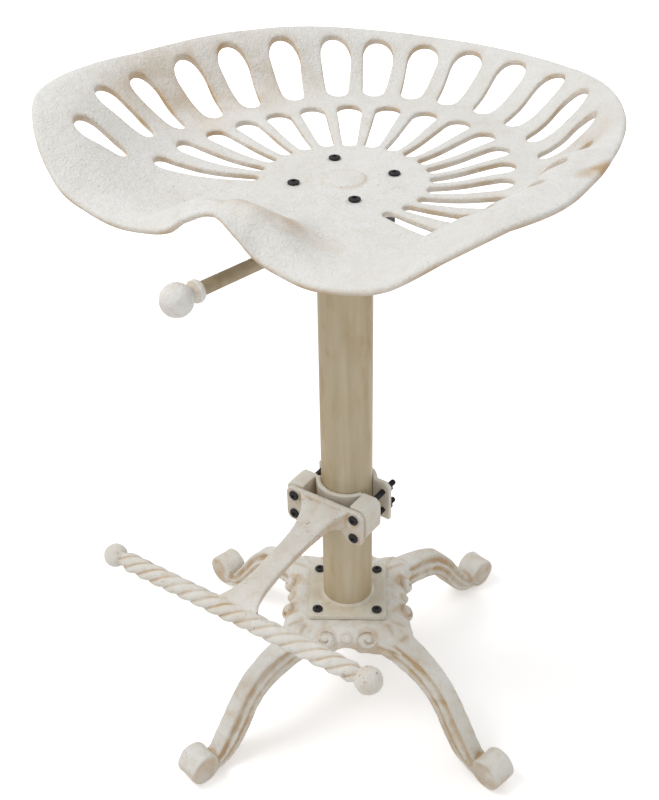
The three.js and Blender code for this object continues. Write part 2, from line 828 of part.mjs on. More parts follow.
function pan() {
  const around = 66;
  const topShares = [0.3, 0.45, 0.6, 0.72, 0.8, 0.87, 0.93, 1];
  const undersideShares = [0.95, 0.87, 0.79, 0.66, 0.46];
  const lipShares = { upper: 0.35, lower: 0.85, tuck: 0.6 }; // of the thickness, and of the lip
  const edgePoints = rim.getPoints(around).slice(0, -1);
  const surface = (p, t) =>
    new THREE.Vector3(p.x * t, p.y * t, p.z * climb(p, t) + pommel(p, t));
  const normalAt = (j, t) => {
    const here = edgePoints[j];
    const [back, on] = [edgePoints[(j + around - 1) % around], edgePoints[(j + 1) % around]];
    const stepShare = 0.01;
    const out = surface(here, Math.min(t + stepShare, 1)).sub(surface(here, t - stepShare));
    const along = surface(on, t).sub(surface(back, t));
    return out.cross(along).normalize();
  };
  const lipShare = (j) => 1 - seat.lip / Math.hypot(edgePoints[j].x, edgePoints[j].y);
  const lower = (j, t, depth) => surface(edgePoints[j], t).addScaledVector(normalAt(j, t), -depth);
  const rows = topShares.map((t) => edgePoints.map((p, j) => surface(p, t * lipShare(j))));
  rows.push(edgePoints.map((p, j) => {
    const outward = new THREE.Vector3(p.x, p.y, 0).setLength(seat.lip);
    return lower(j, lipShare(j), seat.thickness * lipShares.upper).add(outward);
  }));
  rows.push(edgePoints.map((p, j) => {
    const outward = new THREE.Vector3(p.x, p.y, 0).setLength(seat.lip * lipShares.tuck);
    return lower(j, lipShare(j), seat.thickness * lipShares.lower).add(outward);
  }));
  for (const t of undersideShares)
    rows.push(edgePoints.map((p, j) => lower(j, t * lipShare(j), seat.thickness)));
  const body = lofted(rows);
  const [first, last] = [0, (rows.length - 1) * around];
  const index = Array.from(body.index.array).slice(0, (rows.length - 1) * around * 6);
  const middle = rows.length * around;
  for (let j = 0; j < around; j++) {
    const k = (j + 1) % around;
    index.push(first + k, first + j, middle);
    index.push(last + j, last + k, middle + 1);
  }
  const positions = [...body.attributes.position.array, 0, 0, 0, 0, 0, -seat.thickness];
  body.setAttribute("position", new THREE.Float32BufferAttribute(positions, 3));
  body.setIndex(index.reverse());
  return body;
}

// A slot along +X from one radius to another, wider at its outer end
function slot(from, to, innerWidth, outerWidth) {
  const [a, b] = [innerWidth / 2, outerWidth / 2];
  const shape = new THREE.Shape();
  shape.absarc(to - b, 0, b, -Math.PI / 2, Math.PI / 2);
  shape.absarc(from + a, 0, a, Math.PI / 2, 1.5 * Math.PI);
  return extruded(shape, -2 * seat.thickness, seat.rimRise + seat.thickness, 3);
}

function seatPan() {
  const cuts = [];
  const last = (outerSlots.count - 1) / 2;
  for (let i = -last; i <= last; i++) {
    const { pitch, sway, from, to, shorter, shorterBetween, innerWidth, outerWidth } = outerSlots;
    const degrees = i * pitch - sway * Math.sin((2 * Math.PI * i) / last);
    const angle = Math.PI / 2 + radians(degrees);
    const reach = rimRadius(angle);
    const end = to - shorter * THREE.MathUtils.smoothstep(Math.abs(degrees), ...shorterBetween);
    cuts.push(slot(from * reach, end * reach, innerWidth, outerWidth).rotateZ(angle));
  }
  for (let i = 0; i < innerSlots.count; i++) {
    const { count, pitch, offset, from, to, innerWidth, outerWidth } = innerSlots;
    const reach = seat.width / 2;
    const angle = Math.PI / 2 + radians((i - (count - 1) / 2) * pitch + offset);
    cuts.push(slot(from * reach, to * reach, innerWidth, outerWidth).rotateZ(angle));
  }
  for (const [x, y] of seatScrews)
    cuts.push(bar(screw.hole / 2, -seat.thickness - overrun, overrun, faceting.screw).translate(x, y, 0));
  const medallion = bar(seat.medallion / 2, -seat.thickness / 2, seat.medallionRise, faceting.round);
  return cut(joined(pan(), medallion), ...cuts);
}
add(stool, "seat_pan", seatPan(), castIron).position.z = seatHeight;

const seatScrewLength = seat.thickness + bracket.thickness + nut.height + tail;
seatScrews.forEach(([x, y], i) => {
  add(stool, "seat_screw_" + (i + 1), screwOf(seatScrewLength), blackSteel)
    .position.set(x, y, seatHeight + seating);
  add(stool, "seat_nut_" + (i + 1), nutOf(), blackSteel).position.set(x, y, bracketBottom - seating);
});

// Clamp halves, in the footrest's own frame with the middle of the screws at zero
const gripRadius = tubeOuter + seating;
const flangeBack = -foot.flangeFront + foot.flangeThickness;
const screwPlaces = [-1, 1].flatMap((side) =>
  [-1, 1].map((level) => [(side * foot.screwsAcross) / 2, (level * foot.screwsUp) / 2]));
const screwHoles = (from, to) =>
  screwPlaces.map(([x, z]) =>
    bar(screw.hole / 2, from - overrun, to + overrun, faceting.screw)
      .rotateX(-Math.PI / 2)
      .translate(x, 0, z));

// A band round the tube between two angles in degrees
function band(from, to) {
  const shape = new THREE.Shape();
  shape.absarc(0, 0, gripRadius + clamp.band, radians(from), radians(to));
  shape.absarc(0, 0, gripRadius, radians(to), radians(from), true);
  return extruded(shape, -clamp.halfHeight, clamp.halfHeight, 8);
}

function clampFront() {
  const [inside, outside, h] = [clamp.blockInside, clamp.blockOutside, clamp.halfHeight];
  const outline = (sign) => {
    const points = [
      [inside, -h], [outside - clamp.bottomChamferAcross, -h], [outside, clamp.bottomChamferUp - h],
      [outside, h - clamp.topChamfer], [outside - clamp.topChamfer, h], [inside, h],
    ];
    const mirrored = points.map(([x, z]) => [sign * x, z]);
    return polygon(sign < 0 ? mirrored.reverse() : mirrored);
  };
  const start = THREE.MathUtils.radToDeg(Math.asin(clamp.blockBack / gripRadius));
  const halves = [-1, 1].map((sign) =>
    extrudedAlongY(outline(sign), flangeBack + seating, -clamp.blockBack));
  return cut(joined(band(180 + start, 360 - start), ...halves), ...screwHoles(flangeBack, 0));
}
add(footrest, "clamp_front", clampFront(), castIron);

function clampRear() {
  const [front, back] = [clamp.earFront, clamp.earFront + clamp.earThickness];
  const inside = Math.sqrt((gripRadius + clamp.band) ** 2 - back ** 2) - clamp.band / 3;
  const start = THREE.MathUtils.radToDeg(Math.asin(front / gripRadius));
  const h = clamp.halfHeight;
  const ears = [-1, 1].map((sign) => {
    const points = [
      [inside, -h], [clamp.earOutside, -h], [clamp.earOutside, h - clamp.earChamfer],
      [clamp.earOutside - clamp.earChamfer, h], [inside, h],
    ].map(([x, z]) => [sign * x, z]);
    return extrudedAlongY(polygon(sign < 0 ? points.reverse() : points), front, back);
  });
  return cut(joined(band(start, 180 - start), ...ears), ...screwHoles(front, back));
}
add(footrest, "clamp_rear", clampRear(), castIron);

// Footrest casting: flange, arm, twisted bar and its ball ends
function flange() {
  const [w, top, bottom] = [foot.flangeHalf, foot.flangeTop, -foot.flangeBottom];
  const corner = (foot.flangeBottom - foot.screwsUp / 2) * footShares.corner;
  const shape = new THREE.Shape();
  shape.absarc(w - corner, top - corner, corner, 0, Math.PI / 2);
  shape.absarc(-w + corner, top - corner, corner, Math.PI / 2, Math.PI);
  shape.absarc(-w + corner, bottom + corner, corner, Math.PI, 1.5 * Math.PI);
  shape.lineTo(-foot.archHalf - corner / 2, bottom);
  const crown = bottom + foot.archRise;
  const control = foot.archHalf * footShares.arch;
  shape.quadraticCurveTo(-control, crown, 0, crown);
  shape.quadraticCurveTo(control, crown, foot.archHalf + corner / 2, bottom);
  shape.absarc(w - corner, bottom + corner, corner, 1.5 * Math.PI, 2 * Math.PI);
  return cut(
    extrudedAlongY(shape, -foot.flangeFront, flangeBack, 3),
    ...screwHoles(-foot.flangeFront, flangeBack),
  );
}

// Stations of the arm: share of the way from the flange to the bar, then half width, top and underside
// as shares of the flange's half width and of its height above the screws' middle
const armShares = [
  [0, 0.66, 0.93, -0.18], [0.05, 0.52, 0.8, -0.2], [0.12, 0.385, 0.58, -0.3], [0.22, 0.31, 0.3, -0.4],
  [0.36, 0.27, 0.15, -0.52], [0.55, 0.255, 0.02, -0.65], [0.74, 0.275, -0.12, -0.78],
  [0.86, 0.34, -0.22, -0.92], [0.94, 0.46, -0.32, -1.02], [1, 0.6, -0.45, -1.08],
];

function arm() {
  const rings = armShares.map(([way, half, top, bottom]) => {
    const y = THREE.MathUtils.lerp(-foot.flangeFront + foot.flangeThickness / 2, -foot.barReach, way);
    const [w, z1, z0] = [half * foot.flangeHalf, top * foot.flangeTop, bottom * foot.flangeTop];
    const ease = foot.flangeThickness / 3;
    return [
      [-w, z0], [w, z0], [w, z1 - ease], [w - ease, z1], [-w + ease, z1], [-w, z1 - ease],
    ].map(([x, z]) => new THREE.Vector3(x, y, z));
  });
  return lofted(rings);
}

function twistedBar() {
  const [perRing, steps, rings] = [12, 30, []];
  const neck = foot.barHalf - foot.ball * footShares.neck;
  for (let i = 0; i <= steps; i++) {
    const x = THREE.MathUtils.lerp(-neck, neck, i / steps);
    const turn = (-2 * Math.PI * x) / foot.barLead;
    rings.push(Array.from({ length: perRing }, (_, j) => {
      const a = (2 * Math.PI * j) / perRing;
      const r = foot.barRadius + foot.barLobe * Math.cos(foot.barLobes * a);
      return new THREE.Vector3(x, r * Math.cos(a + turn), r * Math.sin(a + turn));
    }));
  }
  return lofted(rings);
}

function footrestCasting() {
  const place = (geometry) => geometry.translate(0, -foot.barReach, -foot.barDrop);
  const balls = [-1, 1].map((sign) =>
    new THREE.SphereGeometry(foot.ball, 12, 8).rotateZ(Math.PI / 2).translate(sign * foot.barHalf, 0, 0));
  return joined(flange(), arm(), place(twistedBar()), ...balls.map(place));
}
add(footrest, "footrest_casting", footrestCasting(), castIron);

const clampScrewLength = foot.flangeFront + clamp.screwTip;
screwPlaces.forEach(([x, z], i) => {
  const screwMesh = add(footrest, "clamp_screw_" + (i + 1), screwOf(clampScrewLength), blackSteel);
  screwMesh.rotation.x = Math.PI / 2;
  screwMesh.position.set(x, -foot.flangeFront - seating, z);
  const nutMesh = add(footrest, "clamp_nut_" + (i + 1), nutOf(), blackSteel);
  nutMesh.rotation.x = Math.PI / 2;
  nutMesh.position.set(x, clamp.earFront + clamp.earThickness + seating, z);
});

export default stool;
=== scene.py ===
import bpy
import numpy as np
from mathutils import Matrix, Vector, geometry


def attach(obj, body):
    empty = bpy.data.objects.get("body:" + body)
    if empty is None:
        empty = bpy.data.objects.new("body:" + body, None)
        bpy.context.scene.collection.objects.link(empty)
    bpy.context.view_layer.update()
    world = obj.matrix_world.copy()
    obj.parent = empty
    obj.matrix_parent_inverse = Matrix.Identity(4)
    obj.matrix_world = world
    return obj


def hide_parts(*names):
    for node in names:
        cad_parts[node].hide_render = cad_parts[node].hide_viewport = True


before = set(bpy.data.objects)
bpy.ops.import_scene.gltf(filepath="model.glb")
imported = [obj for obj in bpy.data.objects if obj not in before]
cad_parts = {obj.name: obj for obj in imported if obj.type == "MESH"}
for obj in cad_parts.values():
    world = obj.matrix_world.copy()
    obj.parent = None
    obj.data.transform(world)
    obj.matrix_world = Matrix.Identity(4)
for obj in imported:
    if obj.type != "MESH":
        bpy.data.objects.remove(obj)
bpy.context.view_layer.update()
mm = 0.001
quarterTurns = np.radians([45, 135, 225, 315])
upright = ([0, 0, 0], [0, 0, 1])
print("frame loaded:", len(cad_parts), "nodes")


# Small tools
def pick(look, names):  # several settings of a piece by their names
    return [look[name] for name in names.split()]


def smoothstep(x, low, high):  # 0 below low, 1 above high, an even S between
    t = np.clip((np.asarray(x, float) - low) / (high - low), 0, 1)
    return t * t * (3 - 2 * t)


def bell(x, width):  # 1 at zero, falling to both sides as exp(-(x / width) squared)
    return np.exp(-((x / width) ** 2))


def unit(vectors):  # each vector divided by its length
    return vectors / np.linalg.norm(vectors, axis=-1, keepdims=True)


def around(count):  # angles once round a circle
    return np.linspace(0, 2 * np.pi, count, endpoint=False)


def ringOf(radius, angle, height):  # points from radius, angle and height
    return np.stack(np.broadcast_arrays(radius * np.cos(angle), radius * np.sin(angle), height), -1)


def turnedZ(points, degrees):  # points turned about the upright axis
    c, s = np.cos(np.radians(degrees)), np.sin(np.radians(degrees))
    return np.asarray(points, float) @ np.array([[c, s, 0], [-s, c, 0], [0, 0, 1]])


def curveThrough(points, count):  # uniform Catmull-Rom curve through points, its ends doubled
    p = np.asarray(points, float)
    p = np.vstack([p[:1], p, p[-1:]])
    s = np.linspace(0, len(p) - 3, count)
    i = np.minimum(s.astype(int), len(p) - 4)
    t = (s - i)[:, None]
    a, b, c, d = p[i], p[i + 1], p[i + 2], p[i + 3]
    square, cube = 2 * a - 5 * b + 4 * c - d, 3 * b - a - 3 * c + d
    return (2 * b + (c - a) * t + square * t**2 + cube * t**3) / 2


def gridFaces(rows, columns, wrapRows=False):  # quads of a rows by columns grid, closed across
    i, j = np.meshgrid(np.arange(rows if wrapRows else rows - 1), np.arange(columns), indexing="ij")
    below, beside = (i + 1) % rows, (j + 1) % columns
    corners = [(i, j), (i, beside), (below, beside), (below, j)]
    return np.stack([row * columns + column for row, column in corners], -1).reshape(-1, 4)


def shellOf(rings, wrapRows=False):  # closed shell through rings of points, with a fan in each end
    rings = np.asarray(rings, float)
    rows, columns = rings.shape[:2]
    faces = gridFaces(rows, columns, wrapRows).tolist()
    if wrapRows:
        return rings.reshape(-1, 3), faces
    verts = np.vstack([rings.reshape(-1, 3), rings[0].mean(0), rings[-1].mean(0)])
    j = np.arange(columns)
    beside, last, size = (j + 1) % columns, (rows - 1) * columns, rows * columns
    faces += np.stack([beside, j, np.full(columns, size)], -1).tolist()
    faces += np.stack([last + j, last + beside, np.full(columns, size + 1)], -1).tolist()
    return verts, faces


def frameAt(origin, axis):  # origin, two directions square to an axis, and the axis
    w = unit(np.asarray(axis, float))
    side = np.array([0.0, 0, 1]) if abs(w[2]) < 0.9 else np.array([1.0, 0, 0])
    u = unit(np.cross(side, w))
    return np.asarray(origin, float), u, np.cross(w, u), w


def turnedRings(profile, columns, place, radiusOf=None):  # radius and height rows swept round an axis
    origin, u, v, w = place
    profile = np.asarray(profile, float)
    a = around(columns)[None]
    r, h = profile[:, :1], profile[:, 1:2]
    r = radiusOf(r, h, a) if radiusOf else r + 0 * a
    spokes = np.cos(a)[..., None] * u + np.sin(a)[..., None] * v
    return origin + r[..., None] * spokes + h[..., None] * w


def edgesOf(faces):  # each pair of neighbouring vertices once
    f = np.asarray(faces)
    pairs = np.concatenate([f[:, [i, (i + 1) % f.shape[1]]] for i in range(f.shape[1])])
    return np.unique(np.sort(pairs, 1), axis=0)


def neighbourMean(values, edges):  # mean over each vertex's neighbours
    n = len(values)
    degree = np.maximum(np.bincount(edges.ravel(), minlength=n), 1)
    a, b = edges.T
    sums = [np.bincount(a, c[b], n) + np.bincount(b, c[a], n) for c in values.reshape(n, -1).T]
    return (np.stack(sums, -1) / degree[:, None]).reshape(values.shape)


def normalsOf(verts, faces):  # vertex normals from the cross product of each face's diagonals
    f = np.asarray(faces)
    across = np.cross(verts[f[:, 2]] - verts[f[:, 0]], verts[f[:, -1]] - verts[f[:, 1]])
    total = np.zeros_like(verts)
    for column in f.T:
        total += np.stack([np.bincount(column, c, len(verts)) for c in across.T], -1)
    return total / np.maximum(np.linalg.norm(total, axis=1, keepdims=True), 1e-12)


def hollows(verts, faces, edges, rounds):  # how far each vertex lies below its neighbours, evened out
    depth = ((neighbourMean(verts, edges) - verts) * normalsOf(verts, faces)).sum(1)
    for _ in range(rounds):
        depth = 0.4 * depth + 0.6 * neighbourMean(depth, edges)
    return depth


def waves(points, lengths, seed):  # five sines in random directions for each length, about -1 to 1
    draw = np.random.default_rng(seed)
    total = np.zeros(len(points))
    for length in lengths:
        way = unit(draw.normal(size=(5, 3)))
        total += np.sin(points @ way.T * 2 * np.pi / length + draw.uniform(0, 6.3, 5)).sum(1)
    return total / (5 * len(lengths)) * 2


def linked(name, data):  # a new object in the scene
    thing = bpy.data.objects.new(name, data)
    bpy.context.scene.collection.objects.link(thing)
    return thing


def blended(shells, voxel, rounds):  # one skin round overlapping shells, evened by smoothing both ways
    verts, faces, offset = [], [], 0
    for points, polygons in shells:
        verts.append(points)
        faces += [[i + offset for i in p] for p in polygons]
        offset += len(points)
    mesh = bpy.data.meshes.new("shells")
    mesh.from_pydata(np.vstack(verts).tolist(), [], faces)
    holder = linked("shells", mesh)
    remesh = holder.modifiers.new("skin", "REMESH")
    remesh.mode, remesh.voxel_size = "VOXEL", voxel
    skin = holder.evaluated_get(bpy.context.evaluated_depsgraph_get()).to_mesh()
    points = np.zeros(len(skin.vertices) * 3)
    skin.vertices.foreach_get("co", points)
    corners = np.zeros(len(skin.loops), int)
    skin.loops.foreach_get("vertex_index", corners)
    points, quads = points.reshape(-1, 3), corners.reshape(-1, 4)
    bpy.data.objects.remove(holder)
    edges = edgesOf(quads)
    for share in (0.5, -0.51) * rounds:
        points = points + share * (neighbourMean(points, edges) - points)
    return points, quads, edges


# What all castings share: lengths of the unevenness in metres, rounds and strength of the wash in
# narrow and wide hollows, and between which slopes the sides take their tan and painted shade and the
# underside its painted shade
casting = dict(
    waves=(0.03, 0.013), hollowWash=((2, 7), (14, 16)), sideSlopes=(-0.2, 0.55), underSlopes=(-0.9, -0.1),
    smoothing=2,
)


def castPiece(shells, look):  # skin of shells, moved along its normals by waves, with wash in its hollows and painted shade on its sides and underside
    voxel = look["voxel"] * mm
    shells = [(points * mm, polygons) for points, polygons in shells]
    points, quads, edges = blended(shells, voxel, look["smoothing"])
    uneven = waves(points, look["waves"], look["seed"]) * look["uneven"]
    points = points + normalsOf(points, quads) * uneven[:, None]
    points[:, 2] = np.maximum(points[:, 2], 0)
    washAndShade = sum(strength * np.clip(hollows(points, quads, edges, rounds) / voxel, 0, 1)
               for rounds, strength in look["hollowWash"])
    up = normalsOf(points, quads)[:, 2]
    # painted shade: sides darker and tan, undersides darker, by how far their normals turn from up
    washAndShade = washAndShade + look["sideTanAndShade"] * (1 - smoothstep(up, *look["sideSlopes"]))
    washAndShade = washAndShade + look["underShade"] * (1 - smoothstep(up, *look["underSlopes"]))
    return points / mm, quads.tolist(), np.clip(washAndShade, 0, 1)


def addPiece(name, shell, body, slotName, node, material, sharp):  # a shell stands for a CAD node
    verts, faces, washAndShade = shell
    mesh = bpy.data.meshes.new(name)
    mesh.from_pydata((verts * mm).tolist(), [], faces)
    mesh.shade_smooth()
    mesh.set_sharp_from_angle(angle=np.radians(sharp))
    # per vertex: tan in the hollows and painted shade
    layer = mesh.attributes.new("washAndShade", "FLOAT", "POINT")
    layer.data.foreach_set("value", np.clip(washAndShade, 0, 1).astype(np.float32))
    mesh.materials.append(material)
    piece = linked(name, mesh)
    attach(piece, body)
    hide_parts(node)
    print(name, len(faces), "faces")


def prismShell(outline, stations):  # an outline in x and z, carried along y
    x, z = np.asarray(outline, float).T
    return shellOf([np.column_stack([x, np.full(len(x), y), z]) for y in stations])


def turnedShell(shell, degrees):  # its points turned about the upright axis, the rest kept
    return turnedZ(shell[0], degrees), *shell[1:]


def tinted(shell, washAndShade):  # a shell with one wash all over
    return *shell, np.full(len(shell[0]), washAndShade)


def gathered(shells):  # several shells with their wash as one mesh
    starts = np.cumsum([0] + [len(shell[0]) for shell in shells])
    faces = [[k + start for k in face] for shell, start in zip(shells, starts) for face in shell[1]]
    return np.vstack([shell[0] for shell in shells]), faces, np.concatenate([shell[2] for shell in shells])


# Materials
def newTree(name):  # a material with an empty tree
    material = bpy.data.materials.new(name)
    material.use_nodes = True
    material.node_tree.nodes.clear()
    return material, material.node_tree


def put(tree, kind, settings=None, **sockets):  # a node; sockets by name with _ for spaces, or by number as i0
    node = tree.nodes.new(kind)
    for key, value in (settings or {}).items():
        setattr(node, key, value)
    for key, value in sockets.items():
        numbered = key[0] == "i" and key[1:].isdigit()
        socket = node.inputs[int(key[1:]) if numbered else key.replace("_", " ")]
        if isinstance(value, bpy.types.NodeSocket):
            tree.links.new(value, socket)
        else:
            socket.default_value = value
    return node


def math(tree, operation, a, b, clamp=False):  # one sum of two values, kept within 0..1 by clamp
    return put(tree, "ShaderNodeMath", dict(operation=operation, use_clamp=clamp), i0=a, i1=b).outputs[0]


def times(tree, a, b, clamp=False):  # a times b
    return math(tree, "MULTIPLY", a, b, clamp)


def plus(tree, a, b, clamp=False):  # a plus b
    return math(tree, "ADD", a, b, clamp)


def patched(tree, value, cloud, shares, clamp=False):  # value times (cloud times a share, plus a share)
    return times(tree, value, plus(tree, times(tree, cloud, shares[0]), shares[1]), clamp)


def mixed(tree, share, a, b):  # colour a to colour b
    return put(tree, "ShaderNodeMix", dict(data_type="RGBA"), i0=share, i6=a, i7=b).outputs[2]


def ranged(tree, value, low, high):  # 0..1 mapped to low..high
    return put(tree, "ShaderNodeMapRange", Value=value, To_Min=low, To_Max=high).outputs[0]


def noise(tree, where, scale, detail, span=None, stretch=None):  # cloud values, a span of them mapped to 0..1
    if stretch:
        where = put(tree, "ShaderNodeMapping", Vector=where, Scale=stretch).outputs[0]
    cloud = put(tree, "ShaderNodeTexNoise", Vector=where, Scale=scale, Detail=detail).outputs[0]
    if not span:
        return cloud
    return put(tree, "ShaderNodeMapRange", Value=cloud, From_Min=span[0], From_Max=span[1]).outputs[0]


def spot(tree, where, centre, radii):  # 1 in the middle of an ellipsoid, 0 at its skin
    scale = [1 / r for r in radii]
    moved = [-c * s for c, s in zip(centre, scale)]
    place = put(tree, "ShaderNodeMapping", Vector=where, Location=moved, Scale=scale).outputs[0]
    return put(tree, "ShaderNodeTexGradient", dict(gradient_type="SPHERICAL"), Vector=place).outputs[1]


def started(name):  # a material, its tree, its coordinates and its wash
    material, tree = newTree(name)
    where = put(tree, "ShaderNodeTexCoord").outputs["Object"]
    washAndShade = put(tree, "ShaderNodeAttribute", dict(attribute_name="washAndShade")).outputs["Fac"]
    return material, tree, where, washAndShade


def finished(tree, colour, roughness, height, look):  # a bump from the height, one shader and the output
    bump = put(tree, "ShaderNodeBump", Height=height, Distance=look["grain"], Strength=1.0).outputs[0]
    shader = put(tree, "ShaderNodeBsdfPrincipled", Base_Color=colour, Roughness=roughness, Normal=bump,
                 Metallic=look["metallic"], Specular_IOR_Level=look["specular"])
    put(tree, "ShaderNodeOutputMaterial", Surface=shader.outputs[0])


# Each cloud's scale and detail, the span of its values that becomes 0..1, and its stretch
ironClouds = dict(
    patch=(34.0, 7.0, (0.42, 0.62)),
    dulling=(9.0, 5.0, (0.3, 0.7)),
    speckle=(460.0, 4.0, (0.42, 0.66)),
    smears=(21.0, 8.0, (0.48, 0.66), (1.0, 0.45, 0.6)),
    brushed=(60.0, 4.0, (0.45, 0.75), (1.0, 1.0, 0.25)),
    rubbed=(95.0, 8.0, (0.5, 0.68)),
    fewer=(26.0, 2.0, (0.48, 0.62)),
    fine=(480.0, 5.0),
    coarse=(170.0, 5.0),
)
ironLook = dict(
    # the wash colour is the tan in the hollows and also the colour of the painted shade on sides and undersides
    cream=(0.79, 0.788, 0.77, 1), dull=(0.64, 0.61, 0.535, 1), washAndShade=(0.51, 0.36, 0.205, 1),
    pit=(0.30, 0.20, 0.12, 1),
    roughness=(0.5, 0.72), metallic=0.0, specular=0.4, grain=0.00035, fine=1.1, coarse=1.2, pitDepth=0.8,
    dulling=0.55, speckle=0.18, smears=0.3, film=0.1, rubbed=0.8, patchy=(0.6, 0.5), spotty=(0.7, 0.45),
    pitting=0.6, pitScale=520.0, pitRange=(0.66, 0.74),
)


def castPaint(name, spots=(), **changes):  # cream paint over rough iron, with tan wiped into the hollows and painted shade, both mixed in from the piece's attribute
    look = dict(ironLook, **changes)
    material, tree, where, washAndShade = started(name)
    rows = dict(ironClouds, pits=(look["pitScale"], 3.0, look["pitRange"]))
    cloud = {key: noise(tree, where, *row) for key, row in rows.items()}
    colour = look["cream"]
    for key in ("dulling", "speckle", "smears"):
        colour = mixed(tree, times(tree, cloud[key], look[key]), colour, look["dull"])
    washAndShade = patched(tree, washAndShade, cloud["patch"], look["patchy"])
    for centre, radii, strength in spots:
        glow = times(tree, spot(tree, where, centre, radii), strength)
        washAndShade = plus(tree, washAndShade, patched(tree, glow, cloud["patch"], look["spotty"]))
    film = plus(tree, cloud["brushed"], times(tree, cloud["rubbed"], look["rubbed"]))
    washAndShade = plus(tree, washAndShade, times(tree, film, look["film"]), True)
    colour = mixed(tree, washAndShade, colour, look["washAndShade"])
    pits = times(tree, cloud["pits"], times(tree, cloud["fewer"], look["pitting"]), True)
    colour = mixed(tree, pits, colour, look["pit"])
    height = plus(tree, *(times(tree, cloud[key], look[key]) for key in ("fine", "coarse")))
    height = math(tree, "SUBTRACT", height, times(tree, pits, look["pitDepth"]))
    finished(tree, colour, ranged(tree, cloud["patch"], *look["roughness"]), height, look)
    return material


metalLook = dict(
    metallic=0.0, specular=0.4, grain=0.00012, grainScale=500.0, streaks=0.4, marks=0.3, patchy=(0.5, 0.55),
    streakCloud=(90.0, 4.0, (0.35, 0.68), (1.0, 1.0, 0.06)),
    markCloud=(75.0, 6.0, (0.5, 0.7), (1.0, 1.0, 0.35)),
)


def metalPaint(name, first, second, mark, roughness, **changes):  # streaks and marks along Z, the attribute's tan and painted shade mixed in, a fine grain
    look = dict(metalLook, **changes)
    material, tree, where, washAndShade = started(name)
    streak, marks = (noise(tree, where, *look[key]) for key in ("streakCloud", "markCloud"))
    colour = mixed(tree, times(tree, streak, look["streaks"]), first, second)
    colour = mixed(tree, times(tree, marks, look["marks"]), colour, mark)
    colour = mixed(tree, patched(tree, washAndShade, marks, look["patchy"], True), colour, mark)
    grain = noise(tree, where, look["grainScale"], 4.0)
    finished(tree, colour, ranged(tree, streak, *roughness), grain, look)
    return material


seatSpots = [  # where tan stains lie, their radii and strength
    ((0.014, -0.137, 0.606), (0.045, 0.034, 0.05), 0.9), ((0.05, -0.118, 0.603), (0.034, 0.02, 0.04), 0.35),
    ((0.2345, -0.007, 0.655), (0.012, 0.02, 0.012), 1.6), ((0.2286, -0.026, 0.65), (0.013, 0.022, 0.012), 1.3),
    ((-0.19, 0.03, 0.625), (0.075, 0.09, 0.07), 0.5), ((-0.15, 0.11, 0.625), (0.07, 0.06, 0.06), 0.35),
    ((-0.205, -0.03, 0.63), (0.05, 0.06, 0.05), 0.35), ((-0.03, 0.17, 0.630), (0.07, 0.04, 0.05), 0.2),
    ((0.17, 0.09, 0.635), (0.05, 0.07, 0.05), 0.3),
]
seatPaint = castPaint("seatPaint", seatSpots, dulling=0.2, film=0.09, pitting=0.5, grain=0.0011, smears=0.22)
basePaint = castPaint("basePaint", cream=(0.77, 0.76, 0.73, 1), dulling=0.7, smears=0.6, film=0.3, grain=0.0009)
platePaint = castPaint("platePaint", cream=(0.72, 0.705, 0.63, 1), dull=(0.5, 0.47, 0.37, 1), dulling=0.6,
                       smears=0.5, film=0.25)
footrestPaint = castPaint("footrestPaint", cream=(0.77, 0.755, 0.72, 1), pitting=1.0, pitScale=400.0,
                          pitRange=(0.62, 0.72), smears=0.45, film=0.2, grain=0.0008)
clampPaint = castPaint("clampPaint", cream=(0.74, 0.72, 0.66, 1), film=0.2)
knobPaint = castPaint("knobPaint", cream=(0.88, 0.89, 0.88, 1), grain=0.0013, film=0.12, smears=0.25,
                      dulling=0.3)
columnPaint = metalPaint("columnPaint", (0.58, 0.51, 0.375, 1), (0.43, 0.35, 0.225, 1), (0.36, 0.25, 0.105, 1),
                         (0.34, 0.5), streaks=0.7, marks=0.1)
leverPaint = metalPaint("leverPaint", (0.41, 0.34, 0.23, 1), (0.31, 0.24, 0.14, 1), (0.24, 0.155, 0.07, 1),
                        (0.35, 0.55), streaks=0.6, marks=0.5)
blackOxide = metalPaint("blackOxide", (0.012, 0.012, 0.014, 1), (0.022, 0.022, 0.025, 1),
                        (0.05, 0.047, 0.043, 1), (0.55, 0.72), specular=0.25, marks=0.25)
blackPaint = metalPaint("blackPaint", (0.018, 0.018, 0.02, 1), (0.03, 0.03, 0.032, 1), (0.06, 0.055, 0.05, 1),
                        (0.4, 0.6), marks=0.2, grainScale=900.0)
blackNylon = metalPaint("blackNylon", (0.022, 0.022, 0.024, 1), (0.03, 0.03, 0.032, 1), (0.05, 0.05, 0.05, 1),
                        (0.55, 0.7), marks=0.15)
brightSteel = metalPaint("brightSteel", (0.55, 0.56, 0.58, 1), (0.42, 0.43, 0.45, 1), (0.3, 0.28, 0.25, 1),
                         (0.22, 0.38), metallic=1.0, specular=0.5, marks=0.15)
print("materials made")

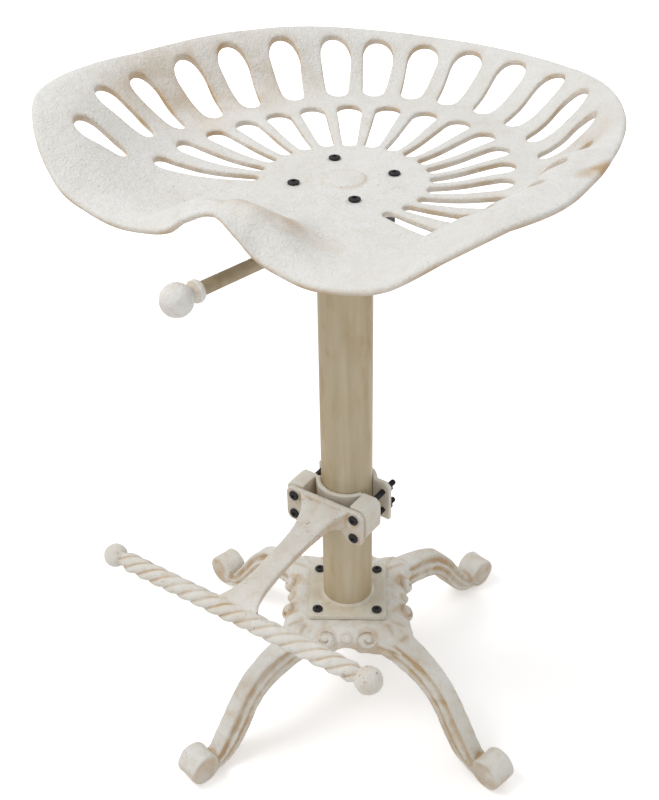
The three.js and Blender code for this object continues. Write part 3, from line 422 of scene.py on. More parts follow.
# Seat pan: z is measured from the pan's middle until the pan is placed. The rim's rows are degrees from
# the back, share of the half width and share of the rise; the pan climbs by one of three curves.
seat = dict(
    width=473, rise=71.5, thickness=5.8, lip=3.4, top=588, edge=1.7, bulge=0.35, slopeStep=0.6, uneven=0.3,
    rim=[[0, 1.044, 0.66], [20, 1.04, 0.69], [40, 0.994, 0.83], [60, 0.963, 0.91], [75, 0.958, 0.94],
         [90, 0.982, 0.965], [100, 1.02, 1], [110, 1.07, 1.03], [120, 1.09, 1], [130, 1.062, 0.75],
         [140, 0.997, 0.36], [147, 0.927, 0.22], [154, 0.868, 0.162], [160, 0.814, 0.165],
         [166, 0.784, 0.24], [172, 0.766, 0.435], [180, 0.74, 0.575]],
    wayOut=[0, 0.3, 0.42, 0.52, 0.62, 0.72, 0.8, 0.87, 0.93, 0.97, 1],
    climb=[0, 0.002, 0.028, 0.088, 0.142, 0.178, 0.325, 0.58, 0.83, 0.94, 1],
    flare=[0, 0.002, 0.016, 0.064, 0.165, 0.38, 0.63, 0.82, 0.92, 0.965, 1],
    steep=[0, 0.002, 0.014, 0.05, 0.14, 0.46, 0.8, 0.94, 0.97, 0.985, 1],
    flareBetween=(84, 112), steepBetween=(64, 88), softAbove=70, soften=0.62,
    pommelRise=17.5, pommelMiddle=166.5, pommelSpread=10, pommelFrom=(0.36, 0.76), pommelTo=(0.86, 1),
    outer=dict(turns=[123, 108, 94.5, 79, 65, 50, 36, 25, 13.5, 2, -10.5, -23.6, -37, -50.5, -64.5, -77,
                      -91, -105, -120],
               ends=[0.87, 0.885, 0.92, 0.942, 0.95, 0.95, 0.95, 0.948, 0.95, 0.955, 0.957, 0.957, 0.945,
                     0.922, 0.893, 0.87, 0.86, 0.86, 0.86],
               starts=[0.71, 0.69, 0.7] + [0.716] * 9 + [0.72] * 5 + [0.71] * 2,
               wide=30, narrow=21.5, left=((5, 4), (80, 118)), right=((8, 6), (36, 62))),
    inner=dict(count=17, farTurn=(14.4, 3), nearTurn=(14.9, 0.6), start=72.5, end=0.634, wide=23.5, narrow=13,
               thinner=(5, 1.5), between=(60, 112)),
    screwRadius=43.5, screwHole=3.3, screwEase=0.4, medallion=18, medallionRise=0.8, medallionEdge=(-0.8, 0.6),
    lattice=3.7, clear=(1.5, 6, 2.2, 2), medallionRings=(-0.7, 0, 0.7),
    # the lip's tints are painted shade deepening as it turns under; the holes' walls take tan and painted shade;
    # the underside takes painted shade, more near the slots
    lipTurns=(25, 50, 75, 100, 125, 150), lipShades=(0.05, 0.15, 0.4, 0.7, 0.8, 0.8),
    wallTurns=(30, 60, 90), wallTint=0.66, edgeTint=(0.1, 0.6),
    topTint=(0.1, 1.5), panUnderShade=(0.2, 0.2, 3), ringTint=(0.34, 0.3, 0.9), medallionTint=0.05,
)


def rimTable(look):  # angle, radius and height of the rim: a closed centripetal curve through its points
    given = np.array(look["rim"])
    given = np.vstack([given, given[-2:0:-1] * [-1, 1, 1]])
    p = ringOf(given[:, 1] * look["width"] / 2, np.radians(90 + given[:, 0]), given[:, 2] * look["rise"])
    a, b, c, d = (np.roll(p, k, 0) for k in (1, 0, -1, -2))
    e, f, g = (np.linalg.norm(v, axis=1, keepdims=True) ** 0.5 for v in (b - a, c - b, d - c))
    start = ((b - a) / e - (c - a) / (e + f) + (c - b) / f) * f
    end = ((c - b) / f - (d - b) / (f + g) + (d - c) / g) * f
    t = np.linspace(0, 1, 60, endpoint=False)[:, None, None]
    curve = b + start * t + (3 * (c - b) - 2 * start - end) * t**2 + (2 * (b - c) + start + end) * t**3
    x, y, z = curve.transpose(1, 0, 2).reshape(-1, 3).T
    order = np.argsort(np.arctan2(y, x))
    return np.stack([np.arctan2(y, x), np.hypot(x, y), z])[:, order]


seatRim = rimTable(seat)
panCurves = [curveThrough(np.stack([seat["wayOut"], rise], -1), 801) for rise in pick(seat, "climb flare steep")]


def rimAt(angle):  # radius and height of the rim in a direction
    return [np.interp(angle, seatRim[0], row, period=2 * np.pi) for row in seatRim[1:]]


def panTop(plan):  # rim's height times the climb at the share of the way out, plus swellings, medallion, waves
    x, y = plan[..., 0], plan[..., 1]
    radius, height = rimAt(np.arctan2(y, x))
    reach, fromBack = np.hypot(x, y), np.degrees(np.arctan2(x, y))
    t = reach / radius
    climb, flare, steep = (np.interp(t, *curve.T) for curve in panCurves)
    climb = climb + (flare - climb) * smoothstep(np.abs(fromBack), *seat["flareBetween"])
    climb = climb + (steep - climb) * smoothstep(fromBack, *seat["steepBetween"])
    pommel = seat["pommelRise"] * bell(np.abs(fromBack) - seat["pommelMiddle"], seat["pommelSpread"])
    pommel = pommel * smoothstep(t, *seat["pommelFrom"]) * (1 - smoothstep(t, *seat["pommelTo"]))
    inside, outside = (seat["medallion"] + ease for ease in seat["medallionEdge"])
    medallion = seat["medallionRise"] * (1 - smoothstep(reach, inside, outside))
    flat = np.stack([x, y, 0 * x], -1).reshape(-1, 3)
    uneven = (waves(flat, [95, 41], 5) * seat["uneven"]).reshape(x.shape)
    raised = height * climb + pommel + medallion + uneven
    return raised - seat["soften"] * np.maximum(raised - seat["softAbove"], 0)


def panUnder(plan):  # the top less the thickness measured square to the slope
    step = seat["slopeStep"]
    slopes = [(panTop(plan + s) - panTop(plan - s)) / (2 * step) for s in step * np.eye(2)]
    return panTop(plan) - seat["thickness"] * np.sqrt(1 + slopes[0] ** 2 + slopes[1] ** 2)


def slotEnds(row, thinner, side):  # radii of a slot's near and far ends, thinner towards the front
    return (row["narrow"] - thinner[1] * side) / 2, (row["wide"] - thinner[0] * side) / 2


def slotPlaces():  # each slot's end circles: the near centre, the far centre and their radii
    places = []
    outer, inner = seat["outer"], seat["inner"]
    at = lambda degrees, radius: radius * np.array([-np.sin(np.radians(degrees)), np.cos(np.radians(degrees))])
    for turn, start, end in zip(outer["turns"], outer["starts"], outer["ends"]):
        reach = rimAt(np.radians(90 + turn))[0]
        thinner, between = outer["left"] if turn > 0 else outer["right"]
        a, b = slotEnds(outer, thinner, smoothstep(abs(turn), *between))
        places.append((at(turn, start * reach + a), at(turn, end * reach - b), a, b))
    for k in np.arange(inner["count"]) - (inner["count"] - 1) / 2:
        far, near = (k * inner[key][0] + inner[key][1] for key in ("farTurn", "nearTurn"))
        a, b = slotEnds(inner, inner["thinner"], smoothstep(abs(far), *inner["between"]))
        reach = inner["end"] * rimAt(np.radians(90 + far))[0]
        places.append((at(near, inner["start"] + a), at(far, reach - b), a, b))
    return places


def slotAxes(place):  # a slot's length and its two directions
    near, far = place[:2]
    length = np.linalg.norm(far - near)
    ahead = (far - near) / length
    return length, ahead, np.array([-ahead[1], ahead[0]])


def slotLoop(place, offset):  # outline of a slot, grown by an offset: two arcs and their common tangents
    near, _, a, b = place
    length, ahead, across = slotAxes(place)
    lean = np.arcsin((b - a) / length)
    arc = lambda middle, radius, turns: ringOf(radius, turns, 0)[:, :2] + [middle, 0]
    far = arc(length, b + offset, np.linspace(-np.pi / 2 - lean, np.pi / 2 + lean, 23))
    close = arc(0, a + offset, np.linspace(np.pi / 2 + lean, 1.5 * np.pi - lean, 15))
    way = np.linspace(0, 1, 17)[1:-1, None]
    there = far[-1] + (close[0] - far[-1]) * way
    back = close[-1] + (far[0] - close[-1]) * way
    return near + np.vstack([far, there, close, back]) @ np.array([ahead, across])


def slotDistance(plan, place):  # how far points are outside a slot
    near, _, a, b = place
    length, ahead, across = slotAxes(place)
    u, v = (plan - near) @ ahead, (plan - near) @ across
    along = np.clip(u, 0, length)
    return np.hypot(u - along, v) - (a + (b - a) * along / length)


def inLoop(points, loop):  # even-odd rule
    a, b = loop, np.roll(loop, -1, 0)
    x, y = points[:, :1], points[:, 1:]
    rise = np.where(a[:, 1] == b[:, 1], 1, b[:, 1] - a[:, 1])
    crossed = x < (b[:, 0] - a[:, 0]) * (y - a[:, 1]) / rise + a[:, 0]
    return (((a[:, 1] > y) != (b[:, 1] > y)) & crossed).sum(1) % 2 == 1


def panPlan(places, screws, loops):  # corners of equal triangles, clear of holes and rim, and medallion rings
    step, medallion, clear = pick(seat, "lattice medallion clear")
    x, y = np.meshgrid(np.arange(-260, 260, step), np.arange(-200, 260, step * 0.866))
    x = x + (np.arange(len(x)) % 2)[:, None] * step / 2
    lattice = np.stack([x.ravel(), y.ravel()], -1)
    radius = np.hypot(*lattice.T)
    gap = np.min([slotDistance(lattice, p) for p in places], 0)
    hole = np.min([np.hypot(*(lattice - c).T) for c in screws], 0)
    edge = rimAt(np.arctan2(lattice[:, 1], lattice[:, 0]))[0] - seat["lip"] - radius
    gaps = (gap - seat["edge"], hole, edge, np.abs(radius - medallion))
    keep = np.all([gap > least for gap, least in zip(gaps, clear)], 0)
    rings = [ringOf(medallion + more, around(96), 0)[:, :2] for more in seat["medallionRings"]]
    return np.vstack(loops + [lattice[keep]] + rings)


def panFaces(plan, loops):  # triangles between the loops: none whose corners are all on one hole's loop
    counts = [len(loop) for loop in loops]
    starts = np.concatenate([[0], np.cumsum(counts)])
    label = np.full(len(plan), -1)
    label[:starts[-1]] = np.repeat(np.arange(len(loops)), counts)
    chains = [np.stack([s + np.arange(n), s + (np.arange(n) + 1) % n], -1) for s, n in zip(starts, counts)]
    corners, chained = [Vector(p) for p in plan.tolist()], np.concatenate(chains).tolist()
    made = geometry.delaunay_2d_cdt(corners, chained, [], 0, 1e-5)
    origin = np.array([o[0] for o in made[3]])
    triangles = origin[np.array(made[2])]
    a, b, c = (plan[triangles[:, k]] for k in range(3))
    flip = np.cross(b - a, c - a) < 0
    triangles[flip] = triangles[flip][:, ::-1]
    first, second, third = label[triangles].T
    same = (first == second) & (second == third) & (first >= 0)
    onRim = same & (first == 0)
    same[onRim] = ~inLoop(plan[triangles[onRim]].mean(1), loops[0])
    return triangles[~same], starts, counts


def rimWall(line):  # rows round the lip: out by a sine's power, down by a cosine, with painted shade deepening as the lip turns under
    high, low = panTop(line(0)), panUnder(line(0))
    for q, tint in zip(np.radians(seat["lipTurns"]), seat["lipShades"]):
        at = line(seat["lip"] * np.sin(q) ** 0.8)
        yield np.column_stack([at, high + (low - high) * (1 - np.cos(q)) / 2]), tint


def holeWall(line):  # rows down a hole's wall: a quarter round, a bulge in the middle, a quarter round; painted shade deepens down the top's rounding, and the wall and lower rounding take tan and painted shade
    edge, bulge, wallTint, (light, darker) = pick(seat, "edge bulge wallTint edgeTint")
    rounding = [(edge * (1 - np.sin(q)), edge * (1 - np.cos(q))) for q in np.radians(seat["wallTurns"])]
    for inward, drop in rounding:
        yield np.column_stack([line(inward), panTop(line(inward)) - drop]), light + darker * (drop / edge) ** 2
    at = line(-bulge)
    yield np.column_stack([at, (panTop(at) + panUnder(at)) / 2]), wallTint
    for inward, drop in rounding[::-1]:
        yield np.column_stack([line(inward), panUnder(line(inward)) + drop]), wallTint


def seatPan():  # the plan is triangulated round its holes, lifted, and its two faces joined by rounded walls
    edge, hole, ease, medallion = pick(seat, "edge screwHole screwEase medallion")
    places, turns = slotPlaces(), np.linspace(-np.pi, np.pi, 900, endpoint=False)
    screws = [ringOf(seat["screwRadius"], q, 0)[:2] for q in quarterTurns]
    spokes, circle = (ringOf(1, q, 0)[:, :2] for q in (turns, around(32)))
    outlines = [lambda o: spokes * (rimAt(turns)[0] - seat["lip"] + o)[:, None]]
    outlines += [lambda o, p=p: slotLoop(p, o) for p in places]
    outlines += [lambda o, c=c: c + (hole + o * ease) * circle for c in screws]
    loops = [outlines[0](0)] + [line(edge) for line in outlines[1:]]
    plan = panPlan(places, screws, loops)
    triangles, starts, counts = panFaces(plan, loops)
    n = len(plan)
    verts = [np.column_stack([plan, panTop(plan)]), np.column_stack([plan, panUnder(plan)])]
    near = np.maximum(np.min([slotDistance(plan, p) for p in places], 0) - edge, 0)
    out = np.hypot(*plan.T) - medallion
    # the top takes tan near the slots and round the medallion; the underside takes painted shade, more near the
    # slots
    (slot, fading), (ring, outside, width) = pick(seat, "topTint ringTint")
    plain, more, fadingUnder = seat["panUnderShade"]
    topWash = np.maximum(slot * np.exp(-near / fading), ring * bell(out - outside, width))
    washAndShade = [topWash + seat["medallionTint"] * (out < 0), plain + more * np.exp(-near / fadingUnder)]
    faces = triangles.tolist() + (triangles[:, ::-1] + n).tolist()
    size = 2 * n
    for line, start, count in zip(outlines, starts, counts):
        isRim = start == 0
        rows = [start + np.arange(count)]
        for points, tint in (rimWall if isRim else holeWall)(line):
            verts.append(points)
            washAndShade.append(np.full(count, tint))
            rows.append(size + np.arange(count))
            size += count
        rows = np.array(rows + [n + start + np.arange(count)])
        beside = np.roll(rows, -1, 1)
        quads = np.stack([rows[:-1], beside[:-1], beside[1:], rows[1:]], -1).reshape(-1, 4)
        faces += (quads[:, ::-1] if isRim else quads).tolist()
    return np.vstack(verts) + [0, 0, seat["top"]], faces, np.concatenate(washAndShade)


addPiece("seatPan", seatPan(), "seat", "cream_iron", "seat_pan", seatPaint, 50)

# Base casting, in the plate's frame, turned at the end. The leg's edges are shares of legRadius and
# hubTop, and its section is share of the half width and share of the depth.
base = dict(
    casting, turn=32.4, legRadius=210, hubTop=113, hubWall=10, hubSkirt=28, hubHalf=62, hollow=52,
    shaft=20, legWidth=29, root=0.37, rootInset=0.3, reach=1.36, flank=0.36,
    archRadius=17, archZ=75, archEase=0.3,
    shoulder=[(2.2, 85), (1, 93), (0, 101), (0.4, 104), (1.6, 107), (3.8, 109.4), (7.4, 111.6), (11, 113)],
    legTop=[[0.27, 0.955], [0.38, 0.945], [0.48, 0.91], [0.57, 0.865], [0.66, 0.775],
            [0.735, 0.63], [0.8, 0.46], [0.86, 0.3], [0.91, 0.165], [0.955, 0.135]],
    legUnder=[[0.26, 0.67], [0.36, 0.69], [0.45, 0.685], [0.53, 0.655], [0.6, 0.595],
              [0.67, 0.475], [0.725, 0.31], [0.79, 0.165], [0.865, 0.075], [0.955, 0.055]],
    legSection=[[0.46, 0], [0.52, 0.02], [0.56, 0.07], [0.57, 0.16], [0.51, 0.22], [0.49, 0.3], [0.55, 0.36],
                [0.82, 0.46], [0.88, 0.5], [0.85, 0.56], [0.76, 0.61], [0.76, 0.7], [0.86, 0.85], [0.94, 0.96],
                [0.88, 1]],
    rootWider=0.5, rootAlong=(0, 0.42), rootDown=(0.1, 0.55),
    toeRadius=17, toeWide=27, toeFlat=0.5, toeEdge=2.2,
    voxel=1.5, seed=11, uneven=0.0004, sideTanAndShade=0.6, underShade=0.35,
    tail=[[59.5, 25.5, 107.5], [62.2, 31, 104.6], [64.6, 38, 101.2], [67.2, 47, 98.6], [70.5, 56, 95]],
    tailRadius=(3.4, 1.4),
    dart=([61.5, 3.2], [75, 8.2]), dartAbove=102, dartCut=(1.1, 1.2), dartTint=(0.5, 2.2),
    # tint is the painted shade round the volutes and the bead: its strength and width; tintShare scales it and
    # the tan in the darts
    beadAt=(2.4, 7.6), voluteShadeAt=(3, 7), voluteShadeFrom=(5, 9.6), tint=(0.65, 2.2), tintShare=0.9,
)
volute = dict(
    radius=9.8, depth=10, dome=6.6, spread=21.5, tilt=45, groove=3.2, grooveWidth=0.17, turns=0.9375,
    start=0.15, grooveFrom=(0.12, 0.3), grooveTo=(0.94, 1), place=(0.9, 7.8), wide=1.0, tall=0.84,
    bead=(5, 6.2, 3.8), tint=(0.08, 0.65), beadTint=0.1,
)


def hubOutline(inset):  # four times a straight line across a leg's root and two quadratic curves, a hollow side
    hub, leg, root, rootInset, reach, flank = pick(base, "hubHalf legWidth root rootInset reach flank")
    half, root, reach, flank = hub - inset, leg * root - inset * rootInset, hub * reach - inset, hub * flank
    along, across = np.array([1, 1]) / 2**0.5, np.array([-1, 1]) / 2**0.5
    near, far = along * reach - across * root, along * reach + across * root
    middle, first, second = np.array([0, half]), np.array([flank, half]), np.array([-flank, half])
    following = np.array([-far[0], far[1]])
    t = np.linspace(0, 1, 15)[:-1, None]
    bend = lambda p, q, r: p * (1 - t) ** 2 + 2 * q * t * (1 - t) + r * t**2
    straight = near + (far - near) * np.linspace(0, 1, 8)[:-1, None]
    quarter = np.vstack([straight, bend(far, first, middle), bend(middle, second, following)])
    quarter = np.column_stack([quarter, 0 * quarter[:, 0]])
    return np.vstack([turnedZ(quarter, 90 * i) for i in range(4)])


def hubShell():  # outside from skirt to top, then down inside the hollow, a closed ring
    x, y, _ = hubOutline(0).T
    angle, lateral = np.arctan2(y, x), np.minimum(np.abs(x), np.abs(y))
    top, skirt, wall, radius, archZ = pick(base, "hubTop hubSkirt hubWall archRadius archZ")
    low, under = top - skirt, top - wall
    arch = archZ + np.sqrt(np.maximum(radius**2 - lateral**2, 0))
    bottom = np.maximum(np.where(lateral < radius, arch, 0), low)
    rings = []
    for inset, z in base["shoulder"]:
        ring = hubOutline(inset)
        ring[:, 2] = np.maximum(z, bottom + (z - low) * base["archEase"])
        rings.append(ring)
    inside = (("shaft", top), ("shaft", under), ("hollow", under), ("hollow", bottom))
    return shellOf(rings + [ringOf(base[key], angle, z) for key, z in inside], wrapRows=True)


def legShell():  # one section scaled between the curves of its upper and lower edges, wider at the root
    size, count = [base["legRadius"], base["hubTop"]], 70
    top, under = (curveThrough(base[key], count) * size for key in ("legTop", "legUnder"))
    half, depth = curveThrough(base["legSection"], 60).T
    side = top[:, None] + (under - top)[:, None] * depth[:, None]
    rootward = base["rootWider"] * (1 - smoothstep(np.linspace(0, 1, count), *base["rootAlong"]))[:, None]
    wide = half * base["legWidth"] / 2 * (1 + rootward * (1 - smoothstep(depth, *base["rootDown"])))
    right, left = (np.stack([side[..., 0], sign * wide, side[..., 1]], -1) for sign in (1, -1))
    return shellOf(np.concatenate([right, left[:, ::-1]], 1))


def toeShell():  # half an outline with a soft edge and its mirror, turned about an axis across the leg's end
    r, w, e = base["toeRadius"], base["toeWide"] / 2, base["toeEdge"]
    q = np.radians([0, 30, 60, 90])
    edge = np.column_stack([r - e + e * np.sin(q), w - e + e * np.cos(q)])
    half = np.vstack([[[0.3 * r, w - 0.3], [0.7 * r, w - 0.5]], edge, [[r - 0.25, w * 0.5]]])
    profile = np.vstack([half, [[r - 0.4, 0]], half[::-1] * [1, -1]])[::-1]
    return shellOf(turnedRings(profile, 96, frameAt([base["legRadius"], 0, r - base["toeFlat"]], [0, 1, 0])))


def tailShell(side):  # a circle of falling radius carried from a volute along the shoulder to the leg
    path = curveThrough(base["tail"], 24) * [1, side, 1]
    radius = np.linspace(*base["tailRadius"], 24)[:, None, None]
    q = around(16)[:, None]
    ahead = unit(np.gradient(path, axis=0))
    u = unit(np.cross(ahead, [0, 0, 1.0]))
    v = np.cross(u, ahead)
    return shellOf(path[:, None] + radius * (np.cos(q) * u[:, None] + np.sin(q) * v[:, None]))


def voluteShell(side):  # an ellipsoid's top less a bell along a spiral, leaning out on the shoulder
    columns = 72
    radius, depth, dome, groove, grooveWidth, tilt = pick(volute, "radius depth dome groove grooveWidth tilt")
    r, q = np.linspace(0.02, 1, 36)[:, None], around(columns)[None]
    spiral = r * volute["turns"] - side * q / (2 * np.pi) + volute["start"]
    away = (spiral - np.floor(spiral) - 0.5) / grooveWidth
    begun = smoothstep(r, *volute["grooveFrom"])
    height = dome * np.sqrt(np.maximum(1 - r**2 * 0.96, 0)) + 0.5 * r
    height = height - groove * bell(away, 1) * begun * (1 - smoothstep(r, *volute["grooveTo"]))
    top = ringOf(r * radius, q, height) * [volute["tall"], volute["wide"], 1]
    foot = top[-1] * [1, 1, 0] - [0, 0, depth]
    lean = np.radians(tilt)
    c, s = np.cos(lean), np.sin(lean)
    centre = hubPoint(volute["place"], side * volute["spread"])
    verts, faces = shellOf(np.concatenate([top, foot[None]]) @ [[c, 0, -s], [0, 1, 0], [s, 0, c]])
    plain, more = volute["tint"]
    tint = plain + more * np.exp(-0.8 * away**2) * begun
    return verts + centre, faces, np.concatenate([tint.ravel(), np.full(columns, 0.8), [0.15, 0.8]])


def hubPoint(place, across):  # a point set in from the hub's side and down from its top
    return np.array([base["hubHalf"] - place[0], across, base["hubTop"] - place[1]])


def ballShell(centre, radius, columns=40):  # a half circle turned about the upright axis
    q = np.linspace(0, np.pi, 24)[1:-1]
    profile = np.column_stack([radius * np.sin(q), -radius * np.cos(q)])
    return shellOf(turnedRings(profile, columns, frameAt(centre, [0, 0, 1])))


def baseCasting():  # hub, legs, toes and tails in one skin, with the volutes and beads set into it
    shells, crisp = [hubShell()], []
    ball, polygons = ballShell([0, 0, 0], 1, 32)
    bead = tinted((ball * volute["bead"] + hubPoint(base["beadAt"], 0), polygons), volute["beadTint"])
    for i in range(4):
        shells += [turnedShell(s, 45 + 90 * i) for s in (legShell(), toeShell())]
        shells += [turnedShell(tailShell(side), 90 * i) for side in (-1, 1)]
        crisp += [turnedShell(s, 90 * i) for s in (voluteShell(-1), voluteShell(1), bead)]
    points, quads, washAndShade = castPiece(shells, base)
    onTop = points[:, 2] > base["dartAbove"]
    dart, tint = 0 * washAndShade, 0 * washAndShade
    (cut, cutWidth), (seam, seamWidth), (strength, width) = pick(base, "dartCut dartTint tint")
    for i in range(4):  # a short cut on each side of a leg's root with tan in it, and painted shade round the volutes
        plan, sideOn = turnedZ(points, -45 - 90 * i)[:, :2], turnedZ(points, -90 * i)
        for side in (-1, 1):
            a, b = base["dart"] * np.array([1, side])
            t = np.clip(((plan - a) @ (b - a)) / ((b - a) @ (b - a)), 0, 1)[:, None]
            away = np.linalg.norm(plan - a - (b - a) * t, axis=1)
            dart = np.maximum(dart, cut * bell(away, cutWidth) * onTop)
            tint = np.maximum(tint, seam * bell(away, seamWidth) * onTop)
        # painted shade in a band round each volute and the bead
        for side in (-1, 0, 1):
            middle = hubPoint(base["voluteShadeAt"], side * volute["spread"])
            away = np.maximum(np.linalg.norm(sideOn - middle, axis=1) - base["voluteShadeFrom"][abs(side)], 0)
            tint = np.maximum(tint, strength * bell(away, width))
    points[:, 2] -= dart
    washAndShade = np.clip(washAndShade + base["tintShare"] * tint, 0, 1)
    return turnedShell(gathered([(points, quads, washAndShade)] + crisp), base["turn"])


addPiece("baseCasting", baseCasting(), "base", "cream_iron", "base_casting", basePaint, 50)

# Column: the tube, and the plate with the weld round the tube. Each strip of painted shade down the
# tube, in tan, is its direction in degrees, its width and its strength.
column = dict(
    outer=25.4, inner=22.9, bottom=118.6, top=493, shadeStrips=((-122, 36, 1.2), (4, 36, 0.85)),
    seatShadow=(380, 480, 0.3), footTint=(4, 12, 0.3),
)
plate = dict(
    half=40.5, bottom=113.3, top=118.3, corner=3, rodHole=5.4, ease=0.7, toWeld=(0.88, 0.77),
    weld=[(28.2, 0), (28, 0.8), (27.4, 1.6), (26.6, 2.3), (26, 2.7), (25.42, 2.9), (25.2, 2), (25.2, 0)],
    weldOutside=25.6, weldTint=(0.1, 0.25, 0.5), seamAt=2.8, rings=((29.4, 1.5, 0.75), (34, 4, 0.3)), tint=0.08,
)


def columnTube():  # a plain lathe; painted shadow grows towards the seat, and painted shade in tan lies on two sides
    r, low, top, bore = pick(column, "outer bottom top inner")
    shaft = [[r, z] for z in np.linspace(low, top - 2, 60)]
    lip = [[r, top - 0.8], [r - 0.25, top - 0.2], [r - 0.9, top], [bore + 0.4, top], [bore, top - 0.5]]
    profile = np.vstack([[[bore, low]], shaft, lip])
    verts, faces = shellOf(turnedRings(profile, 144, frameAt(*upright)), wrapRows=True)
    height, angle = verts[:, 2], np.degrees(np.arctan2(verts[:, 1], verts[:, 0]))
    # painted shade in two strips down the sides, painted shadow rising under the seat, and tan at the foot
    washAndShade = sum(strength * bell(np.abs((angle - side + 180) % 360 - 180), width)
               for side, width, strength in column["shadeStrips"])
    start, full, strength = column["seatShadow"]
    above, fading, foot = column["footTint"]
    washAndShade = washAndShade + strength * smoothstep(height, start, full) + foot * np.exp(-((height - low - above) / fading))
    return verts, faces, washAndShade


def roundedSquare(half, corner, inset):  # outline of a square with rounded corners
    arc = ringOf(corner - inset, np.radians(np.linspace(0, 90, 9)), 0) + [half - corner, half - corner, 0]
    side = np.linspace(arc[-1], [-arc[-1][0], arc[-1][1], 0], 18)[1:-1]
    return np.vstack([turnedZ(np.vstack([arc, side]), 90 * i) for i in range(4)])


def columnPlate():  # square outlines up over soft edges, in to the weld's bead, then down the rod's hole
    e, low, top = pick(plate, "ease bottom top")
    edges = ((e, low), (0, low + e), (0, top - e), (e * 0.3, top - e * 0.3), (e, top))
    rings = [roundedSquare(plate["half"], plate["corner"], inset) + [0, 0, z] for inset, z in edges]
    angle = np.arctan2(rings[0][:, 1], rings[0][:, 0])
    rings += [(rings[4] - [0, 0, top]) * share + [0, 0, top] for share in plate["toWeld"]]
    ripple = np.sin(angle * 23 + 2 * np.sin(angle * 3)) * 0.25
    ripple = ripple + np.sin(angle * 7 + 1) * 0.4 + np.sin(angle * 4) * 0.3
    rings += [ringOf(r + ripple * (r > plate["weldOutside"]), angle, top + z) for r, z in plate["weld"]]
    rings += [ringOf(plate["rodHole"], angle, z) for z in (top, low)]
    verts, faces = shellOf(rings, wrapRows=True)
    reach, above = np.hypot(*verts[:, :2].T), verts[:, 2] - top
    turn = np.arctan2(verts[:, 1], verts[:, 0])
    patchy = 0.55 + 0.45 * np.sin(turn * 3 + 2 * np.sin(turn * 5))
    washAndShade = sum(strength * bell(reach - at, width) * patchy for at, width, strength in plate["rings"])
    plain, more, seam = plate["weldTint"]
    onWeld = plain + more * patchy + seam * patchy * (above > plate["seamAt"])
    washAndShade = np.where((reach < plate["rings"][0][0] + 0.2) & (above > 0.1), onWeld, washAndShade + plate["tint"])
    return turnedZ(verts, base["turn"]), faces, washAndShade


addPiece("columnTube", columnTube(), "base", "beige_steel", "column_tube", columnPaint, 40)
addPiece("columnPlate", columnPlate(), "base", "cream_iron", "column_plate", platePaint, 40)

# Screws and nuts
screw = dict(
    thread=3, head=5.25, headHeight=2.5, socket=2.0, socketDepth=1.5, pitch=1.0, threadDepth=0.32, threaded=9,
    domeTurns=(36, 48, 60, 70, 80, 88), worn=0.25, clean=0.05,
)
nut = dict(flats=5, corner=4.75, bearing=4.4, bore=3.3, height=5, ease=0.5, cornerCut=(4.95, 0.75, 0.6))


def toFlats(angle):  # 1 at a hexagon's corners and less in the middle of its flats
    return np.cos(np.mod(angle, np.pi / 3) - np.pi / 6)


def screwShell(origin, axis, length, threaded):  # a lathe, its socket a hexagon, its thread a wave that winds
    h, r, s, t = pick(screw, "headHeight head socket thread")
    floor = h - screw["socketDepth"]
    socket = [[0.3, floor], [s, floor], [s, h - 0.35], [s + 0.3, h]]
    dome = [[r * np.sin(q), h * (0.42 + 0.58 * np.cos(q) ** 0.8)] for q in np.radians(screw["domeTurns"])]
    rim = [[r, 0.7], [r - 0.15, 0.15], [r - 0.5, 0]]
    plain = [[t, 0], [t, -0.5], [t, -length + threaded]]
    steps = int(threaded / screw["pitch"] * 4)
    cut = [[t, z] for z in np.linspace(-length + threaded - 0.2, -length + 0.8, steps)]
    tip = [[t - 0.5, -length + 0.2], [t - 1.2, -length]]
    profile = np.vstack([socket, dome, rim, plain, cut, tip])[::-1]

    def radiusOf(radius, height, angle):
        inSocket = (height > 0.5) & (radius < s + 0.1)
        wave = np.abs(2 * np.mod(height / screw["pitch"] + angle / (2 * np.pi), 1) - 1)
        threads = (height < -length + threaded) & (height > -length + 0.5)
        hexagon = np.where(inSocket, np.cos(np.pi / 6) / toFlats(angle) * 1.08, 1)
        return radius * hexagon - np.where(threads, wave * screw["threadDepth"] * 2, 0)
    verts, faces = shellOf(turnedRings(profile, 36, frameAt(origin, axis), radiusOf))
    onHead = (profile[:, 1] > 1.0) & (profile[:, 0] > s + 0.2)
    worn = np.where(onHead, screw["worn"], screw["clean"])
    return verts, faces, np.concatenate([np.repeat(worn, 36), [0, 0]])


def nutShell(origin, axis):  # hexagon with eased corners, bored for the thread, its bearing face at the origin
    deep, e, flats, corner, face, bore = pick(nut, "height ease flats corner bearing bore")
    half = [[bore, 0], [face, 0], [corner, -0.25], [flats, -e]]
    profile = np.vstack([half, np.array(half)[::-1] * [1, -1] - [0, deep]])

    def radiusOf(radius, height, angle):
        least, more, over = nut["cornerCut"]
        cut = least + more * np.clip((radius - face) / over, 0, 1)
        return np.where(radius > face - 0.1, np.minimum(radius / toFlats(angle), cut), radius)
    rings = turnedRings(profile[::-1], 48, frameAt(origin, axis), radiusOf)
    return tinted(shellOf(rings, wrapRows=True), screw["clean"])


def addFastener(stem, kind, number, shell, body):  # seatScrew1 stands for seat_screw_1
    node = f"{stem}_{kind.lower()}_{number}"
    addPiece(f"{stem}{kind}{number}", shell, body, "black_fastener", node, blackOxide, 35)


